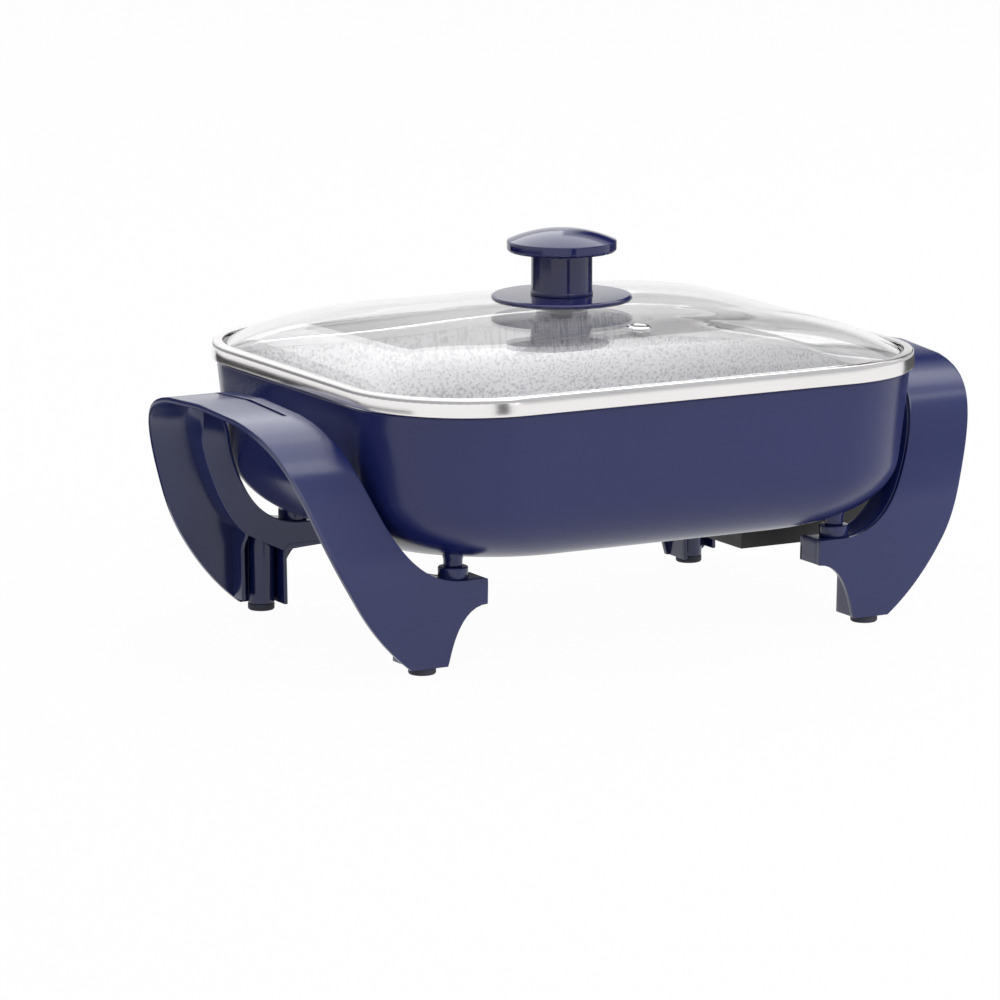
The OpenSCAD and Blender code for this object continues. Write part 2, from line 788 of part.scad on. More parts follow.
module knob_stem() {
    color(handle_blue) difference() {
        rod(stem_dia, stem_z, stem_h);
        rod(screw_dia + bore_gap, stem_z - cut, stem_h);
        rod(insert_dia + bore_gap, cap_z - insert_in - insert_l, insert_l + insert_in + cut);
    }
}

module knob_insert() {
    color(brass_tone) difference() {
        rod(insert_dia, cap_z - insert_in - insert_l, insert_l);
        rod(screw_dia + bore_gap, cap_z - insert_in - insert_l - cut, insert_l + 2 * cut);
    }
}

module knob_cap() {
    r = cap_dia / 2;
    e = cap_round_r;
    crown_r = (r * r + cap_crown_h * cap_crown_h) / (2 * cap_crown_h);
    color(handle_blue) translate([0, 0, cap_z]) rotate_extrude() intersection() {
        union() {
            translate([0, e]) square([r, cap_side_h + cap_crown_h]);
            square([r - e, cap_side_h]);
            translate([r - e, e]) circle(e);
        }
        translate([0, cap_side_h + cap_crown_h - crown_r]) circle(crown_r, $fn = 4 * $fn);
        square([r, cap_side_h + cap_crown_h]);
    }
}

module knob_washer_bottom() {
    color(silicone_grey) difference() {
        rod(knob_head_dia + washer_t, glass_top_z - glass_t - washer_t, washer_t);
        rod(screw_dia + bore_gap, glass_edge_z, dome_h);
    }
}

module knob_screw() {
    head_z = glass_top_z - glass_t - washer_t - knob_head_h;
    color(steel_grey) {
        rod(knob_head_dia, head_z, knob_head_h);
        rod(screw_dia, head_z, cap_z - insert_in - shank_end - head_z);
    }
}

pan();
base_plate();
heating_element();
for (e = ENDS) element_clip(e[1]);
terminal_guard();
for (e = ENDS) terminal_pin(e[1]);
thermostat_sleeve();
earth_tab();
for (e = ENDS) guard_screw(e[1]);
handle_left();
handle_right();
for (c = CORNERS) spacer(c);
for (c = CORNERS) handle_screw(c);
for (c = CORNERS) foot(c);
for (c = CORNERS) foot_screw(c);
lid_glass();
lid_seal();
lid_band();
vent_eyelet();
knob_washer_top();
knob_flange();
knob_stem();
knob_insert();
knob_cap();
knob_washer_bottom();
knob_screw();
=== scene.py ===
# %% [markdown]
# # An electric skillet, dressed in Blender
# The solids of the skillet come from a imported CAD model, in metres, with X along the handles, -Y as the
# front and Z up. This lesson loads them, replaces the ones that show with smoother and more detailed
# meshes, and gives every piece a material made from nodes. Each step says what the real thing is first,
# then how it could be made, and why it is made this way.

import math

import bpy
from mathutils import Matrix, Vector


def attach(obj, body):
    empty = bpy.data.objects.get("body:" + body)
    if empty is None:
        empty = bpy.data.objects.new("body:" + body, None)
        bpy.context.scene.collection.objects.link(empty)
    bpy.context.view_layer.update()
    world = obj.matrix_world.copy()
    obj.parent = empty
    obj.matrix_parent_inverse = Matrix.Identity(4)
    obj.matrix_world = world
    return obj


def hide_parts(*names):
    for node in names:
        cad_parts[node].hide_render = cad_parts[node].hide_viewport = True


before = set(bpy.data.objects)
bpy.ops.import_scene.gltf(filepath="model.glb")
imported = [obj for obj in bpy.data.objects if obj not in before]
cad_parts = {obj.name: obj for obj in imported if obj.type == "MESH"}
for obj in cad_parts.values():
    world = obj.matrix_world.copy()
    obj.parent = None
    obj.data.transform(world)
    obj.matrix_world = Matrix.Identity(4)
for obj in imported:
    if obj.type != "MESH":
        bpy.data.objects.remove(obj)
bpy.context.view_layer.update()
MM = 0.001
CORNERS = [("left_front", -1, -1), ("left_back", -1, 1), ("right_front", 1, -1), ("right_back", 1, 1)]


def new_object(name, data):
    """An object in the scene that shows these data."""
    obj = bpy.data.objects.new(name, data)
    bpy.context.scene.collection.objects.link(obj)
    return obj


# %% [markdown]
# ## The camera
# The photograph was taken from the front left with a long lens, a little above the lid. Its place was
# worked out from the rim band and the feet, so it is written here as a target on the skillet, a
# distance, and two angles. A long lens far away keeps the far side of the lid nearly as large as the
# near side, which a close camera with a short lens would not.

# %% Camera
AIM = Vector((-34.799, 0.0, 61.455)) * MM
DISTANCE = 3017.704 * MM
YAW = 0.50572384
PITCH = 0.19080627
LENS = 220.089

sight = Vector((math.sin(YAW) * math.cos(PITCH), math.cos(YAW) * math.cos(PITCH), -math.sin(PITCH)))
lens_data = bpy.data.cameras.new("camera")
lens_data.lens = LENS
lens_data.sensor_width = 36
lens_data.clip_start = 0.1
lens_data.clip_end = 40
camera = new_object("camera", lens_data)
camera.location = AIM - DISTANCE * sight
camera.rotation_euler = (math.pi / 2 - PITCH, 0, -YAW)
bpy.context.scene.camera = camera
print("camera stands at", [round(c, 3) for c in camera.location])

# %% [markdown]
# ## Shader sums written as Python
# A procedural material is a sum of noises and ramps. Wiring a Math node by hand for each plus and times
# is slow to read, so a small class stands for the output of a node and turns Python's operators into
# Math nodes. One method adds every other kind of node.

# %% Material graph
def paint(red, green, blue):
    """A colour as it looks on screen, 0 to 255, as the linear numbers that a shader wants."""
    def linear(c):
        c = c / 255
        return c / 12.92 if c <= 0.04045 else ((c + 0.055) / 1.055) ** 2.4
    return (linear(red), linear(green), linear(blue), 1.0)


class Signal:
    """The output of a node, which takes part in sums."""

    def __init__(self, graph, socket):
        self.graph = graph
        self.socket = socket

    def math(self, operation, first, second):
        return self.graph.add("ShaderNodeMath", {"operation": operation}, {0: first, 1: second})

    def __add__(self, other):
        return self.math("ADD", self, other)

    __radd__ = __add__

    def __sub__(self, other):
        return self.math("SUBTRACT", self, other)

    def __rsub__(self, other):
        return self.math("SUBTRACT", other, self)

    def __mul__(self, other):
        return self.math("MULTIPLY", self, other)

    __rmul__ = __mul__


class Graph:
    """A new material with its Principled shader ready to be wired."""

    def __init__(self, name):
        self.material = bpy.data.materials.new(name)
        self.material.use_nodes = True
        self.tree = self.material.node_tree
        self.shader = self.tree.nodes["Principled BSDF"]
        self.place = self.add("ShaderNodeTexCoord", {}, {}, "Object")

    def wire(self, socket, value):
        if isinstance(value, Signal):
            self.tree.links.new(value.socket, socket)
        else:
            socket.default_value = value

    def add(self, kind, settings, values, out=0):
        node = self.tree.nodes.new(kind)
        for key, value in settings.items():
            if key == "stops":
                while len(node.color_ramp.elements) < len(value):
                    node.color_ramp.elements.new(0.5)
                for element, (at, colour) in zip(node.color_ramp.elements, value):
                    element.position = at
                    element.color = colour
            else:
                setattr(node, key, value)
        for key, value in values.items():
            self.wire(node.inputs[key], value)
        return Signal(self, node.outputs[out])

    def noise(self, scale, detail=2.0, stretch=(1, 1, 1), rough=0.5):
        """Soft random pattern, with spots about 1/scale metres across."""
        where = self.add("ShaderNodeMapping", {}, {"Vector": self.place, "Scale": stretch})
        return self.add("ShaderNodeTexNoise", {}, {"Vector": where, "Scale": scale, "Detail": detail,
                                                   "Roughness": rough}, "Fac")

    def between(self, low, high, value):
        """0 below low, 1 above high, and a smooth step from one to the other."""
        return self.add("ShaderNodeMapRange", {"interpolation_type": "SMOOTHSTEP"},
                        {"Value": value, "From Min": low, "From Max": high})

    def blend(self, share, first, second):
        return self.add("ShaderNodeMix", {"data_type": "RGBA"}, {0: share, 6: first, 7: second}, 2)

    def bumps(self, height, depth, strength=1.0):
        return self.add("ShaderNodeBump", {}, {"Strength": strength, "Distance": depth,
                                               "Height": height})

    def glow(self, colour):
        """Light of its own, as bright as its colour."""
        return self.add("ShaderNodeEmission", {}, {"Color": colour, "Strength": 1.0})

    def surface(self, signal):
        """Shows this in place of the Principled shader alone."""
        self.tree.links.new(signal.socket, self.tree.nodes["Material Output"].inputs["Surface"])
        return self.material

    def finish(self, **sockets):
        for name, value in sockets.items():
            self.wire(self.shader.inputs[name.replace("_", " ")], value)
        return self.material


# %% [markdown]
# ## The finishes
# The pan wears glossy navy enamel outside and a pale speckled non-stick coat inside. Handles and knob
# are gloss plastic in the same navy, with the faint waviness that a moulding has. The band is polished
# steel. Each material keeps its main colour nearly even and puts its life into roughness, small colour
# shifts and a shallow bump, because on a glossy thing those are what the eye reads as real.

# %% Navy enamel
def enamel():
    g = Graph("navy enamel")
    cloud = g.noise(9, 3)
    grit = g.noise(420, 2)
    shade = g.blend(cloud, paint(26, 33, 88), paint(32, 40, 96))
    orange_peel = g.bumps(g.noise(260, 1), 0.00012, 0.35)
    return g.finish(Base_Color=shade, Roughness=0.16 + 0.10 * cloud + 0.05 * grit, Normal=orange_peel,
                    IOR=1.5)


# %% Speckled non-stick coat
def non_stick():
    g = Graph("speckled non-stick")
    fine = g.noise(1100, 3, rough=0.7)
    coarse = g.noise(640, 2, rough=0.6)
    cloud = g.noise(14, 2)
    base = g.blend(cloud, paint(222, 222, 224), paint(232, 232, 234))
    dark = g.between(0.50, 0.61, coarse)
    pale = g.between(0.54, 0.68, fine)
    speckled = g.blend(dark * 0.8, base, paint(172, 172, 178))
    speckled = g.blend(pale * 0.7, speckled, paint(250, 250, 250))
    return g.finish(Base_Color=speckled, Roughness=0.42 + 0.12 * fine,
                    Normal=g.bumps(fine + coarse, 0.00008, 0.5), Specular_IOR_Level=0.4)


# %% Gloss plastic
def gloss_plastic(name, low, high, rough):
    g = Graph(name)
    cloud = g.noise(16, 3)
    fine = g.noise(700, 2)
    shade = g.blend(cloud, paint(*low), paint(*high))
    flow = g.bumps(g.noise(45, 1) + 0.15 * fine, 0.0004, 0.12)
    return g.finish(Base_Color=shade, Roughness=rough + 0.07 * cloud + 0.05 * fine, Normal=flow,
                    IOR=1.55)


# %% Metals
def metal(name, low, high, rough, stretch=(1, 1, 1), scale=60, scratch=0.00002):
    g = Graph(name)
    streak = g.noise(scale, 4, stretch, 0.6)
    cloud = g.noise(11, 2)
    shade = g.blend(0.5 * streak + 0.5 * cloud, paint(*low), paint(*high))
    return g.finish(Base_Color=shade, Metallic=1.0, Roughness=rough + 0.16 * streak,
                    Normal=g.bumps(streak, scratch, 0.4))


# %% Clear glass
def clear_glass():
    g = Graph("clear glass")
    smear = g.noise(18, 3)
    return g.finish(Base_Color=(0.94, 0.94, 0.94, 1), Roughness=0.002 + 0.006 * smear, IOR=1.25,
                    Transmission_Weight=1.0, Normal=g.bumps(g.noise(12, 1), 0.0004, 0.1))


# %% Soft and dull materials
def dull(name, low, high, rough, scale, depth):
    g = Graph(name)
    grain = g.noise(scale, 3, rough=0.6)
    shade = g.blend(g.noise(20, 2), paint(*low), paint(*high))
    return g.finish(Base_Color=shade, Roughness=rough + 0.15 * grain, Normal=g.bumps(grain, depth, 0.5))


NAVY_ENAMEL = enamel()
NON_STICK = non_stick()
HANDLE_PLASTIC = gloss_plastic("handle plastic", (27, 35, 90), (33, 43, 98), 0.14)
KNOB_PLASTIC = gloss_plastic("knob plastic", (24, 28, 84), (30, 34, 90), 0.05)
BAND_STEEL = metal("band steel", (228, 225, 225), (250, 247, 247), 0.1, (1, 1, 40), 30)
CHROME = metal("chrome", (222, 222, 222), (240, 240, 240), 0.05)
SCREW_STEEL = metal("screw steel", (150, 150, 150), (185, 184, 182), 0.25)
ALUMINIUM = metal("aluminium", (165, 167, 170), (196, 198, 200), 0.38, (1, 30, 1), 40)
HEATER_STEEL = metal("heater steel", (70, 66, 62), (104, 98, 92), 0.4, scale=200)
BRASS = metal("brass", (176, 140, 76), (206, 170, 100), 0.2)
GLASS = clear_glass()
SOCKET_BLACK = dull("socket black", (28, 28, 27), (40, 40, 38), 0.4, 900, 0.00005)
RUBBER = dull("foot rubber", (44, 44, 58), (58, 58, 72), 0.6, 1200, 0.0001)
SILICONE = dull("silicone", (176, 176, 178), (200, 200, 202), 0.45, 500, 0.00004)
print("materials:", len(bpy.data.materials))

# %% [markdown]
# ## From points to pieces
# A piece is a list of points and faces in metres, in the skillet's own frame, so its object can stay at
# the origin. Modifiers that finish it are applied at once, which leaves one plain mesh for each piece.

# %% Piece helpers
def piece(name, verts, faces, materials, shades=None, smooth=True):
    """A new object from points in millimetres."""
    mesh = bpy.data.meshes.new(name)
    mesh.from_pydata([tuple(c * MM for c in v) for v in verts], [], faces)
    for material in materials:
        mesh.materials.append(material)
    if shades:
        mesh.polygons.foreach_set("material_index", shades)
    mesh.polygons.foreach_set("use_smooth", [smooth] * len(mesh.polygons))
    mesh.update()
    return new_object(name, mesh)


def bake(obj):
    """Turns what the modifiers make into the object's own mesh."""
    bpy.context.view_layer.update()
    shown = obj.evaluated_get(bpy.context.evaluated_depsgraph_get())
    mesh = bpy.data.meshes.new_from_object(shown)
    old = obj.data
    obj.modifiers.clear()
    obj.data = mesh
    mesh.name = old.name
    bpy.data.meshes.remove(old)
    return obj


def joined(name, parts):
    """One object from several, whose faces keep their materials."""
    verts, faces, shades, materials = [], [], [], []
    for part in parts:
        start = len(verts)
        verts += [tuple(v.co / MM) for v in part.data.vertices]
        for face in part.data.polygons:
            faces.append([start + i for i in face.vertices])
            material = part.data.materials[face.material_index]
            if material not in materials:
                materials.append(material)
            shades.append(materials.index(material))
        mesh = part.data
        bpy.data.objects.remove(part)
        bpy.data.meshes.remove(mesh)
    return piece(name, verts, faces, materials, shades)


def soften_edges(obj, width, degrees):
    """Breaks the edges that are sharper than the angle; width is the most that the bevel takes."""
    edge = obj.modifiers.new("edge", "BEVEL")
    edge.width = width * MM
    edge.segments = 3
    edge.limit_method = "ANGLE"
    edge.angle_limit = math.radians(degrees)
    return bake(obj)


def smooth_all(obj):
    obj.data.polygons.foreach_set("use_smooth", [True] * len(obj.data.polygons))
    return obj


def sharpen(obj, degrees=35):
    """Smooth shading that stops at edges sharper than the angle."""
    obj.data.set_sharp_from_angle(angle=math.radians(degrees))
    return obj


def place(obj, body, slot, *nodes):
    """Makes a piece ride with a body and stand for its solids; slot is not used."""
    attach(obj, body)
    if nodes:
        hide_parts(*nodes)
    print(obj.name, len(obj.data.polygons), "faces")
    return obj


# %% [markdown]
# ## Rings and rounded corners
# The pan, its band and the glass all follow one plan: a rectangle with large round corners. A ring of
# points on that plan, drawn at many heights and insets, is enough for all three. Rings are joined by
# four-sided faces, so highlights run evenly along the walls.

# %% Rings
CORNER_STEPS = 24
SIDE_STEPS = 8


def ring(half_l, half_d, r, z):
    """Points round the plan, counter-clockwise from the right side's middle."""
    points = []
    arcs = [(1, 1, 0), (-1, 1, 90), (-1, -1, 180), (1, -1, 270)]
    for q, (sx, sy, start) in enumerate(arcs):
        cx, cy = sx * (half_l - r), sy * (half_d - r)
        for i in range(CORNER_STEPS + 1):
            a = math.radians(start + 90 * i / CORNER_STEPS)
            points.append((cx + r * math.cos(a), cy + r * math.sin(a), z))
        nx, ny, after = arcs[(q + 1) % 4]
        a = math.radians(after)
        end = (nx * (half_l - r) + r * math.cos(a), ny * (half_d - r) + r * math.sin(a), z)
        last = points[-1]
        for i in range(1, SIDE_STEPS):
            t = i / SIDE_STEPS
            points.append(tuple(last[k] + t * (end[k] - last[k]) for k in range(3)))
    return points


def loft(rings, closed=False, cap_first=False, cap_last=False):
    """Faces between rings that have the same number of points."""
    n, m = len(rings[0]), len(rings)
    verts = [p for r in rings for p in r]
    faces = []
    for k in range(m if closed else m - 1):
        a, b = k * n, ((k + 1) % m) * n
        faces += [(a + i, a + (i + 1) % n, b + (i + 1) % n, b + i) for i in range(n)]
    if cap_first:
        faces.append(tuple(reversed(range(n))))
    if cap_last:
        faces.append(tuple(range((m - 1) * n, m * n)))
    return verts, faces


# %% [markdown]
# ## The pan
# The real pan is one aluminium casting: straight walls that lean out a little, a wide bend into a flat
# floor, and a rounded lip. Its outline is turned into rings from the middle of the underside, up the
# outside, over the lip and down the inside to the middle of the floor. The enamel ends under the lip's
# crest and the speckled coat starts there.

# %% Pan
PAN_HALF_L = 150.9
PAN_HALF_D = 126.3
RIM_Z = 128.2
BASE_Z = 53.0
PAN_R = 61.3
BEND_R = 31.0
DRAFT = math.radians(4.6)
WALL = 3.0
FLOOR = 6.0
BEND_STEPS = 20
LIP_ROWS, ENAMEL_ROWS = 12, 7


def wall_line(inset, z_low, bend_r, z_high):
    """Inset and height from the floor's edge up a wall, with its bend."""
    line = []
    for i in range(BEND_STEPS, -1, -1):
        a = math.pi / 2 * i / BEND_STEPS
        z = z_low + bend_r * (1 - math.sin(a))
        line.append(((RIM_Z - z) * math.tan(DRAFT) + inset + bend_r * (1 - math.cos(a)), z))
    top = line[-1][1]
    for i in range(1, 7):
        z = top + (z_high - top) * i / 6
        line.append(((RIM_Z - z) * math.tan(DRAFT) + inset, z))
    return line


def flat_line(inset, z):
    """Insets from near the middle of a floor out to its edge."""
    return [(inset + w, z) for w in (20, 12, 6, 2.5, 0.8)]


def make_pan():
    lip = WALL / 2
    inner_r = PAN_R - WALL
    outside = wall_line(0, BASE_Z, BEND_R, RIM_Z - lip)
    inside = wall_line(WALL, BASE_Z + FLOOR, BEND_R - WALL, RIM_Z - lip)
    levels = [(w, z, PAN_R) for w, z in flat_line(outside[0][0], BASE_Z) + outside]
    coat_from = len(levels) + ENAMEL_ROWS
    for i in range(1, LIP_ROWS):
        a = math.pi * i / LIP_ROWS
        across = lip - lip * math.cos(a)
        levels.append((across, RIM_Z - lip + lip * math.sin(a), PAN_R - across))
    levels += [(w, z, inner_r) for w, z in (flat_line(inside[0][0], BASE_Z + FLOOR) + inside)[::-1]]
    rings = [ring(PAN_HALF_L - w, PAN_HALF_D - w, r, z) for w, z, r in levels]
    verts, faces = loft(rings, cap_first=True, cap_last=True)
    shades = [0 if k // len(rings[0]) < coat_from else 1 for k in range(len(faces))]
    shades[-2], shades[-1] = 0, 1
    return piece("pan_shell", verts, faces, [NAVY_ENAMEL, NON_STICK], shades)


# %% [markdown]
# ## Turned parts
# Studs, spacers, feet, screws and the knob are all round. A profile of radius and height, turned about
# an axis in many small steps, gives them true round edges with small radii that catch the light.

# %% Lathe
TURNS = 72


def rounded(points, radius, steps=4):
    """A profile whose inner corners are rounded off."""
    result = [points[0]]
    for before, corner, after in zip(points, points[1:], points[2:]):
        c = Vector(corner)
        a, b = Vector(before) - c, Vector(after) - c
        reach = min(radius, a.length * 0.45, b.length * 0.45)
        start, end = c + a.normalized() * reach, c + b.normalized() * reach
        for i in range(steps + 1):
            t = i / steps
            result.append(tuple((1 - t) ** 2 * start + 2 * t * (1 - t) * c + t * t * end))
    result.append(points[-1])
    return result


def lathe(name, profile, materials, centre=(0, 0), turns=TURNS):
    """Turns (radius, height) points about an upright axis; ends on the axis close the form."""
    rings = [[(centre[0] + r * math.cos(2 * math.pi * k / turns),
               centre[1] + r * math.sin(2 * math.pi * k / turns), z) for k in range(turns)]
             for r, z in profile if r > 0]
    verts, faces = loft(rings, cap_first=profile[0][0] == 0, cap_last=profile[-1][0] == 0,
                        closed=profile[0][0] > 0 and profile[-1][0] > 0)
    return piece(name, verts, faces, materials)


# %% Pan and its studs
STUD_X, STUD_Y = 106.9, 83.9
STUD_R, STUD_ROOT_R = 4.6, 6.0
STUD_NECK_H, STUD_H = 3.0, 8.8
HOOK_Z = 44.6
SPACER_H = 5.8


def make_studs():
    low = HOOK_Z + SPACER_H
    profile = rounded([(0, low), (STUD_R, low), (STUD_R, low + STUD_NECK_H),
                       (STUD_ROOT_R, low + STUD_H)], 0.8)
    profile.append((0, low + STUD_H))
    return [lathe("stud", profile, [NAVY_ENAMEL], (sx * STUD_X, sy * STUD_Y), 40)
            for _, sx, sy in CORNERS]


pan = joined("pan_body", [make_pan()] + make_studs())
sharpen(pan)
place(pan, "base", "pan_enamel", "pan")

# %% [markdown]
# ## The arch of a handle
# Each end of the skillet stands on one plastic moulding: a grip that bends down at both sides into two
# hollow legs. Seen from its end it is an arch; seen from the front it is a curved plate with a hook that
# reaches under the pan. The outer skin is therefore a sheet that lies on the arch and is cut by the
# plate's outline. A grid does this exactly: one direction runs along the arch, the other across it. The
# Solidify modifier gives the sheet its wall, and a Bevel breaks its edges. The bevel stays far under its
# width, at about 0.04 mm, because its overlap limit leaves it only the room beside the shortest edges.

# %% Arch
GRIP_Z = 123.5
LEG_HALF_D = 93.5
GRIP_HALF_L = 199.5
FOOT_H = 3.5
HOOK_X = 93.0
HOOK_LOW_Z = 32.3
HOOK_ROOT_X = HOOK_X + 12
HOOK_TOP, HOOK_TIP = (HOOK_X, HOOK_Z), (HOOK_X, HOOK_LOW_Z)
LEG_IN_X, LEG_OUT_X, LEG_WALL_X = 114.0, 133.7, 137.5
LEG_TAPER = 1.3
KNEE_Z = 41.0
GRIP_W = 34.5
SKIN = 2.8


def placed(shares, start, end):
    """Control points given as shares of the way from one corner of the leg to another."""
    return [(start[0] + u * (end[0] - start[0]), start[1] + v * (end[1] - start[1])) for u, v in shares]


def cubic(p, t):
    """A place on the curve of four control points."""
    return tuple((1 - t) ** 3 * p[0][k] + 3 * (1 - t) ** 2 * t * p[1][k] + 3 * (1 - t) * t * t * p[2][k]
                 + t ** 3 * p[3][k] for k in range(2))


CROWN = placed([(0, 1), (0.684, 1), (0.816, 0.894), (0.918, 0.625)], (0, 0), (LEG_HALF_D, GRIP_Z))
KNEE = placed([(0.918, 0.625), (0.958, 0.517), (1, 0.429), (1, 0.332)], (0, 0), (LEG_HALF_D, GRIP_Z))
OUT_EDGE = placed([(0, 0), (0.62, 0.264), (0.729, 0.693), (1, 1)], (LEG_OUT_X, FOOT_H),
                  (GRIP_HALF_L, GRIP_Z))
IN_EDGE = placed([(0, 0), (0.618, 0), (0.733, 0.534), (1, 1)], (HOOK_ROOT_X, HOOK_Z),
                 (GRIP_HALF_L - GRIP_W, GRIP_Z))
GUSSET = placed([(0, 0), (0.814, 0), (0.948, 0.96), (1, 1)], HOOK_TIP, (LEG_IN_X, FOOT_H))
LEAN = placed([(0, 0), (0.42, 0.2), (0.64, 0.53), (1, 1)], (LEG_WALL_X, KNEE_Z),
              (GRIP_HALF_L - 20.5, GRIP_Z - 4))

arch_line = [cubic(CROWN, i / 150) for i in range(150)] + [cubic(KNEE, i / 80) for i in range(81)]
arch_line.append((LEG_HALF_D - LEG_TAPER, FOOT_H))
arch_run = [0.0]
for a, b in zip(arch_line, arch_line[1:]):
    arch_run.append(arch_run[-1] + math.dist(a, b))


def arch_run_at(z):
    """Distance along the arch, from the grip's middle, to where it is z high."""
    for i in range(len(arch_line) - 1):
        za, zb = arch_line[i][1], arch_line[i + 1][1]
        if za >= z >= zb and za > zb:
            return arch_run[i] + (arch_run[i + 1] - arch_run[i]) * (za - z) / (za - zb)
    return 0.0 if z > FOOT_H else arch_run[-1]


def arch_point(run, depth=0.0):
    """Y and Z of a place on the arch, or under it by a depth."""
    run = min(max(run, 0.0), arch_run[-1])
    i = next((k for k in range(len(arch_run) - 1) if arch_run[k + 1] >= run), len(arch_run) - 2)
    t = (run - arch_run[i]) / (arch_run[i + 1] - arch_run[i])
    a, b = arch_line[i], arch_line[i + 1]
    before, after = arch_line[max(i - 2, 0)], arch_line[min(i + 3, len(arch_line) - 1)]
    dy, dz = after[0] - before[0], after[1] - before[1]
    n = math.hypot(dy, dz)
    return a[0] + t * (b[0] - a[0]) + depth * dz / n, a[1] + t * (b[1] - a[1]) - depth * dy / n


def spread(points, count):
    """The same line with its points evenly apart."""
    runs = [0.0]
    for a, b in zip(points, points[1:]):
        runs.append(runs[-1] + math.dist(a, b))
    result = []
    for i in range(count + 1):
        want = runs[-1] * i / count
        k = next((j for j in range(len(runs) - 1) if runs[j + 1] >= want - 1e-9), len(runs) - 2)
        t = (want - runs[k]) / (runs[k + 1] - runs[k])
        result.append(tuple(points[k][c] + t * (points[k + 1][c] - points[k][c]) for c in range(2)))
    return result


def curve(points, count, turned=False):
    """Points evenly apart on a cubic curve, from either end."""
    line = [cubic(points, i / 120) for i in range(121)]
    return spread(line[::-1] if turned else line, count)


print("arch is", round(2 * arch_run[-1]), "mm from foot to foot")

# %% [markdown]
# ## The skin and the walls behind it
# Behind the skin each leg is a box without a back: a leaning outer wall, a wall along the pan side that
# goes round the hook, an inner web that closes the box, and a short wall where the finger gap starts.
# Every wall is again a sheet on the arch, at some depth under the skin, so the same grid makes them all.

# %% Sheets
def sheet_piece(name, rows, thickness, side, edge=0.35, open_at=lambda row, column: False):
    """A plastic wall from a grid of points; side says which way it gets its thickness."""
    across = len(rows[0])
    verts = [p for row in rows for p in row]
    faces = [(k * across + i, k * across + i + 1, (k + 1) * across + i + 1, (k + 1) * across + i)
             for k in range(len(rows) - 1) for i in range(across - 1) if not open_at(k, i)]
    obj = piece(name, verts, faces, [HANDLE_PLASTIC])
    wall = obj.modifiers.new("wall", "SOLIDIFY")
    wall.thickness = thickness * MM
    wall.offset = side
    return soften_edges(obj, edge, 50)


HOOK_FAR_Z = (41.0, 38.0, 29.0)


def skin_rows():
    """Rows of (x, run) from the inner edge to the outer one, from the grip's middle to the foot.

    Each group of rows follows one part of the inner edge. Its heights are those of the outer ends.
    """
    inner = curve(IN_EDGE, 44, turned=True)
    top_z, tip_z, toe_z = HOOK_FAR_Z
    groups = [(inner, GRIP_Z, top_z, len(inner)),
              (spread([inner[-1], HOOK_TOP], 4)[1:], top_z, tip_z, 4),
              (spread([HOOK_TOP, HOOK_TIP], 5)[1:], tip_z, toe_z, 5),
              (curve(GUSSET, 12)[1:], toe_z, FOOT_H, 12)]
    outer = curve(OUT_EDGE, 240, turned=True)
    rows = []
    for points, z_from, z_to, count in groups:
        for i, (x, z) in enumerate(points):
            share = i / (count - 1) if points is inner else (i + 1) / count
            want = z_from + (z_to - z_from) * share
            far = min(outer, key=lambda p: abs(p[1] - want))
            if want == FOOT_H:
                far = outer[-1]
            rows.append(((x, arch_run_at(z)), (far[0], arch_run_at(far[1]))))
    return rows


SLOT_HALF_L = 40.0
SLOT_LOW_Z = 118.0
COLUMNS = [0.0, 0.035, 0.08, 0.14, 0.2, 0.268, 0.33, 0.42, 0.52, 0.62, 0.72, 0.82, 0.9, 0.96, 1.0]
SLOT_COLUMN = COLUMNS.index(0.2)


def skin_grid():
    """Points all over the skin of one handle, from the back foot over the grip to the front foot."""
    rows = []
    for (xa, ra), (xb, rb) in skin_rows():
        row = []
        for c in COLUMNS:
            y, z = arch_point(ra + c * (rb - ra))
            row.append((xa + c * (xb - xa), y, z))
        rows.append(row)
    other = [[(x, -y, z) for x, y, z in row] for row in rows[:0:-1]]
    return other + rows


def make_skin():
    rows = skin_grid()

    def in_slot(row, column):
        ends = (rows[row][0][1], rows[row + 1][0][1])
        on_top = rows[row][0][2] > SLOT_LOW_Z
        return column == SLOT_COLUMN and on_top and max(map(abs, ends)) < SLOT_HALF_L

    return sheet_piece("skin", rows, SKIN, -1, 0.7, in_slot)


# %% [markdown]
# The walls stand at a depth under the skin. Under the grip the four of them would meet in a sharp
# corner, and a mould can't make one, so the depth runs over softly into the wall of the finger gap.

# %% Walls of a leg
RIB = 2.0
CHANNEL = 19.0
SHALLOW, SHALLOW_Z, DEEP_Z = 13.0, 32.0, 42.0
FINGER_Y = 56.0
SOFT = 6.0
ROOT_DEPTH = 0.85 * SKIN
WALL_TOP_X = 169.3
WALL_TOP_DROP = 4.5
WALL_LOW_Z = 6.5
WEB_TOE = (117.0, 31.0)
RIB_X, RIB_TOP_Z = 115.0, 29.4
FOOT_X, FOOT_Y = 124.3, 85.0
BOSS_R, BOSS_TOP_Z = 6.7, 46.0


def crossing(line, z):
    """The other coordinate of a line that runs downward, where it is z high."""
    for a, b in zip(line, line[1:]):
        if a[1] >= z >= b[1] and a[1] > b[1]:
            return a[0] + (b[0] - a[0]) * (a[1] - z) / (a[1] - b[1])
    return line[0][0] if z > line[0][1] else line[-1][0]


under_lines = {}


def leg_y(z, depth, soft=0.0):
    """Y at some depth under the arch, where it is z high; it bends into the finger gap's wall."""
    if depth not in under_lines:
        under_lines[depth] = [arch_point(run, depth) for run in arch_run]
    gap_y = FINGER_Y + RIB / 2
    over = crossing(under_lines[depth], z) - gap_y
    return gap_y + (over + math.hypot(over, soft)) / 2


